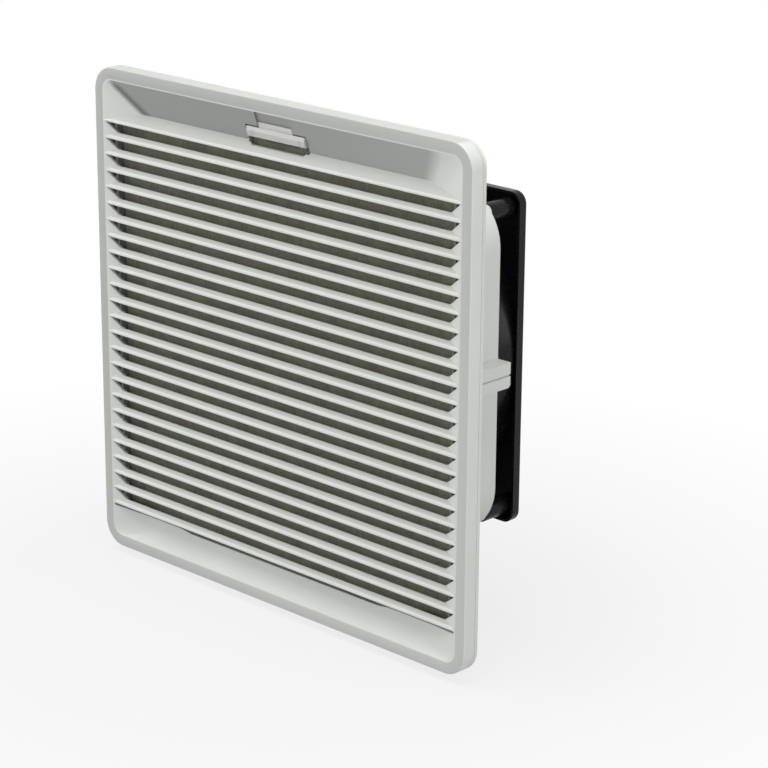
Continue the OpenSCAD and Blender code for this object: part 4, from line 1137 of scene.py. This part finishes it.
def floor_finish():
    """Pale floor that shows white to the camera and still keeps a soft shadow."""
    made = Finish("floor_pale", (0.45, 0.45, 0.45), Roughness=0.9, Specular_IOR_Level=0.1)
    made.colour(made.mix(made.speckle(3, 2), (0.44, 0.44, 0.44), (0.46, 0.46, 0.46)))
    x, y, z = made.axes()
    away = made.maths("SQRT", x * x + y * y)
    seen = made.node("ShaderNodeLightPath")
    straight, glossy = (Wire(made, seen.outputs[name]) for name in ("Is Camera Ray", "Is Glossy Ray"))
    direct = made.maths("MAXIMUM", straight, glossy)
    share = direct * made.clamp(made.between(away, 0.8, 1, 0.2, 0.5))
    glow = made.node("ShaderNodeEmission", None, {"Color": (1, 1, 1), "Strength": 1.0})
    both = made.node("ShaderNodeMixShader", None, {0: share, 1: Wire(made, made.shader.outputs[0]),
                                                   2: Wire(made, glow.outputs[0])})
    made.feed(made.output.inputs["Surface"], Wire(made, both.outputs[0]))
    return made.material


def sky(strength):
    """Even light all round, which shows as plain white behind the object and in its reflections."""
    world = bpy.data.worlds.new("room")
    bpy.context.scene.world = world
    world.use_nodes = True
    tree = world.node_tree
    shown = tree.nodes.new("ShaderNodeBackground")
    tree.nodes["Background"].inputs["Color"].default_value = (1, 1, 1, 1)
    tree.nodes["Background"].inputs["Strength"].default_value = strength
    shown.inputs["Color"].default_value = (1, 1, 1, 1)
    shown.inputs["Strength"].default_value = 1
    path = tree.nodes.new("ShaderNodeLightPath")
    either, any_ray = (tree.nodes.new("ShaderNodeMath") for _ in range(2))
    for step in (either, any_ray):
        step.operation = "MAXIMUM"
    tree.links.new(path.outputs["Is Camera Ray"], either.inputs[0])
    tree.links.new(path.outputs["Is Glossy Ray"], either.inputs[1])
    tree.links.new(either.outputs[0], any_ray.inputs[0])
    tree.links.new(path.outputs["Is Transmission Ray"], any_ray.inputs[1])
    both = tree.nodes.new("ShaderNodeMixShader")
    tree.links.new(any_ray.outputs[0], both.inputs[0])
    tree.links.new(tree.nodes["Background"].outputs[0], both.inputs[1])
    tree.links.new(shown.outputs[0], both.inputs[2])
    tree.links.new(both.outputs[0], tree.nodes["World Output"].inputs["Surface"])


def lamp(name, power, size, place):
    """A square lamp that looks at the middle of the panel plane. Its size and place are in metres."""
    data = bpy.data.lights.new(name, "AREA")
    data.energy = power
    data.size = size
    made = bpy.data.objects.new(name, data)
    made.location = place
    made.rotation_euler = (Vector() - Vector(place)).to_track_quat("-Z", "Y").to_euler()
    bpy.context.scene.collection.objects.link(made)


def camera():
    ahead = Vector(CAMERA_AHEAD).normalized()
    right = ahead.cross(Vector(CAMERA_UP)).normalized()
    up = right.cross(ahead)
    data = bpy.data.cameras.new("camera")
    data.lens = CAMERA_LENS
    data.sensor_width = 36
    data.clip_start = 0.05
    made = bpy.data.objects.new("camera", data)
    made.matrix_world = Matrix.Translation(CAMERA_PLACE) @ Matrix((right, up, -ahead)).transposed().to_4x4()
    bpy.context.scene.collection.objects.link(made)
    bpy.context.scene.camera = made


OPERATORS = (FILTER_FAN_OT_cover, FILTER_FAN_OT_latch, FILTER_FAN_OT_frame, FILTER_FAN_OT_mat, FILTER_FAN_OT_seal,
             FILTER_FAN_OT_housing, FILTER_FAN_OT_impeller, FILTER_FAN_OT_motor, FILTER_FAN_OT_guard,
             FILTER_FAN_OT_terminals, FILTER_FAN_OT_stage)
SETTINGS = {"fan_colours": FilterFanColours, "fan_shades": FilterFanPaintedShades, "fan_detail": FilterFanDetail,
            "fan_stage": FilterFanStage}


class FILTER_FAN_PT_panel(bpy.types.Panel):
    """Settings and pieces of the filter fan"""

    bl_idname = "FILTER_FAN_PT_panel"
    bl_label = "Filter fan"
    bl_space_type = "VIEW_3D"
    bl_region_type = "UI"
    bl_category = "Filter fan"

    def draw(self, context):
        for name, group in SETTINGS.items():
            box = self.layout.box()
            for setting in group.__annotations__:
                box.prop(getattr(context.scene, name), setting)
        for operator in OPERATORS:
            self.layout.operator(operator.bl_idname)


def register():
    for group in (*SETTINGS.values(), *OPERATORS, FILTER_FAN_PT_panel):
        bpy.utils.register_class(group)
    for name, group in SETTINGS.items():
        setattr(bpy.types.Scene, name, PointerProperty(type=group))


def unregister():
    for name in SETTINGS:
        delattr(bpy.types.Scene, name)
    for group in (FILTER_FAN_PT_panel, *reversed(OPERATORS), *SETTINGS.values()):
        bpy.utils.unregister_class(group)


def main():
    """Builds every piece."""
    register()
    for operator in OPERATORS:
        family, name = operator.bl_idname.split(".")
        getattr(getattr(bpy.ops, family), name)()


if __name__ == "__main__":
    main()
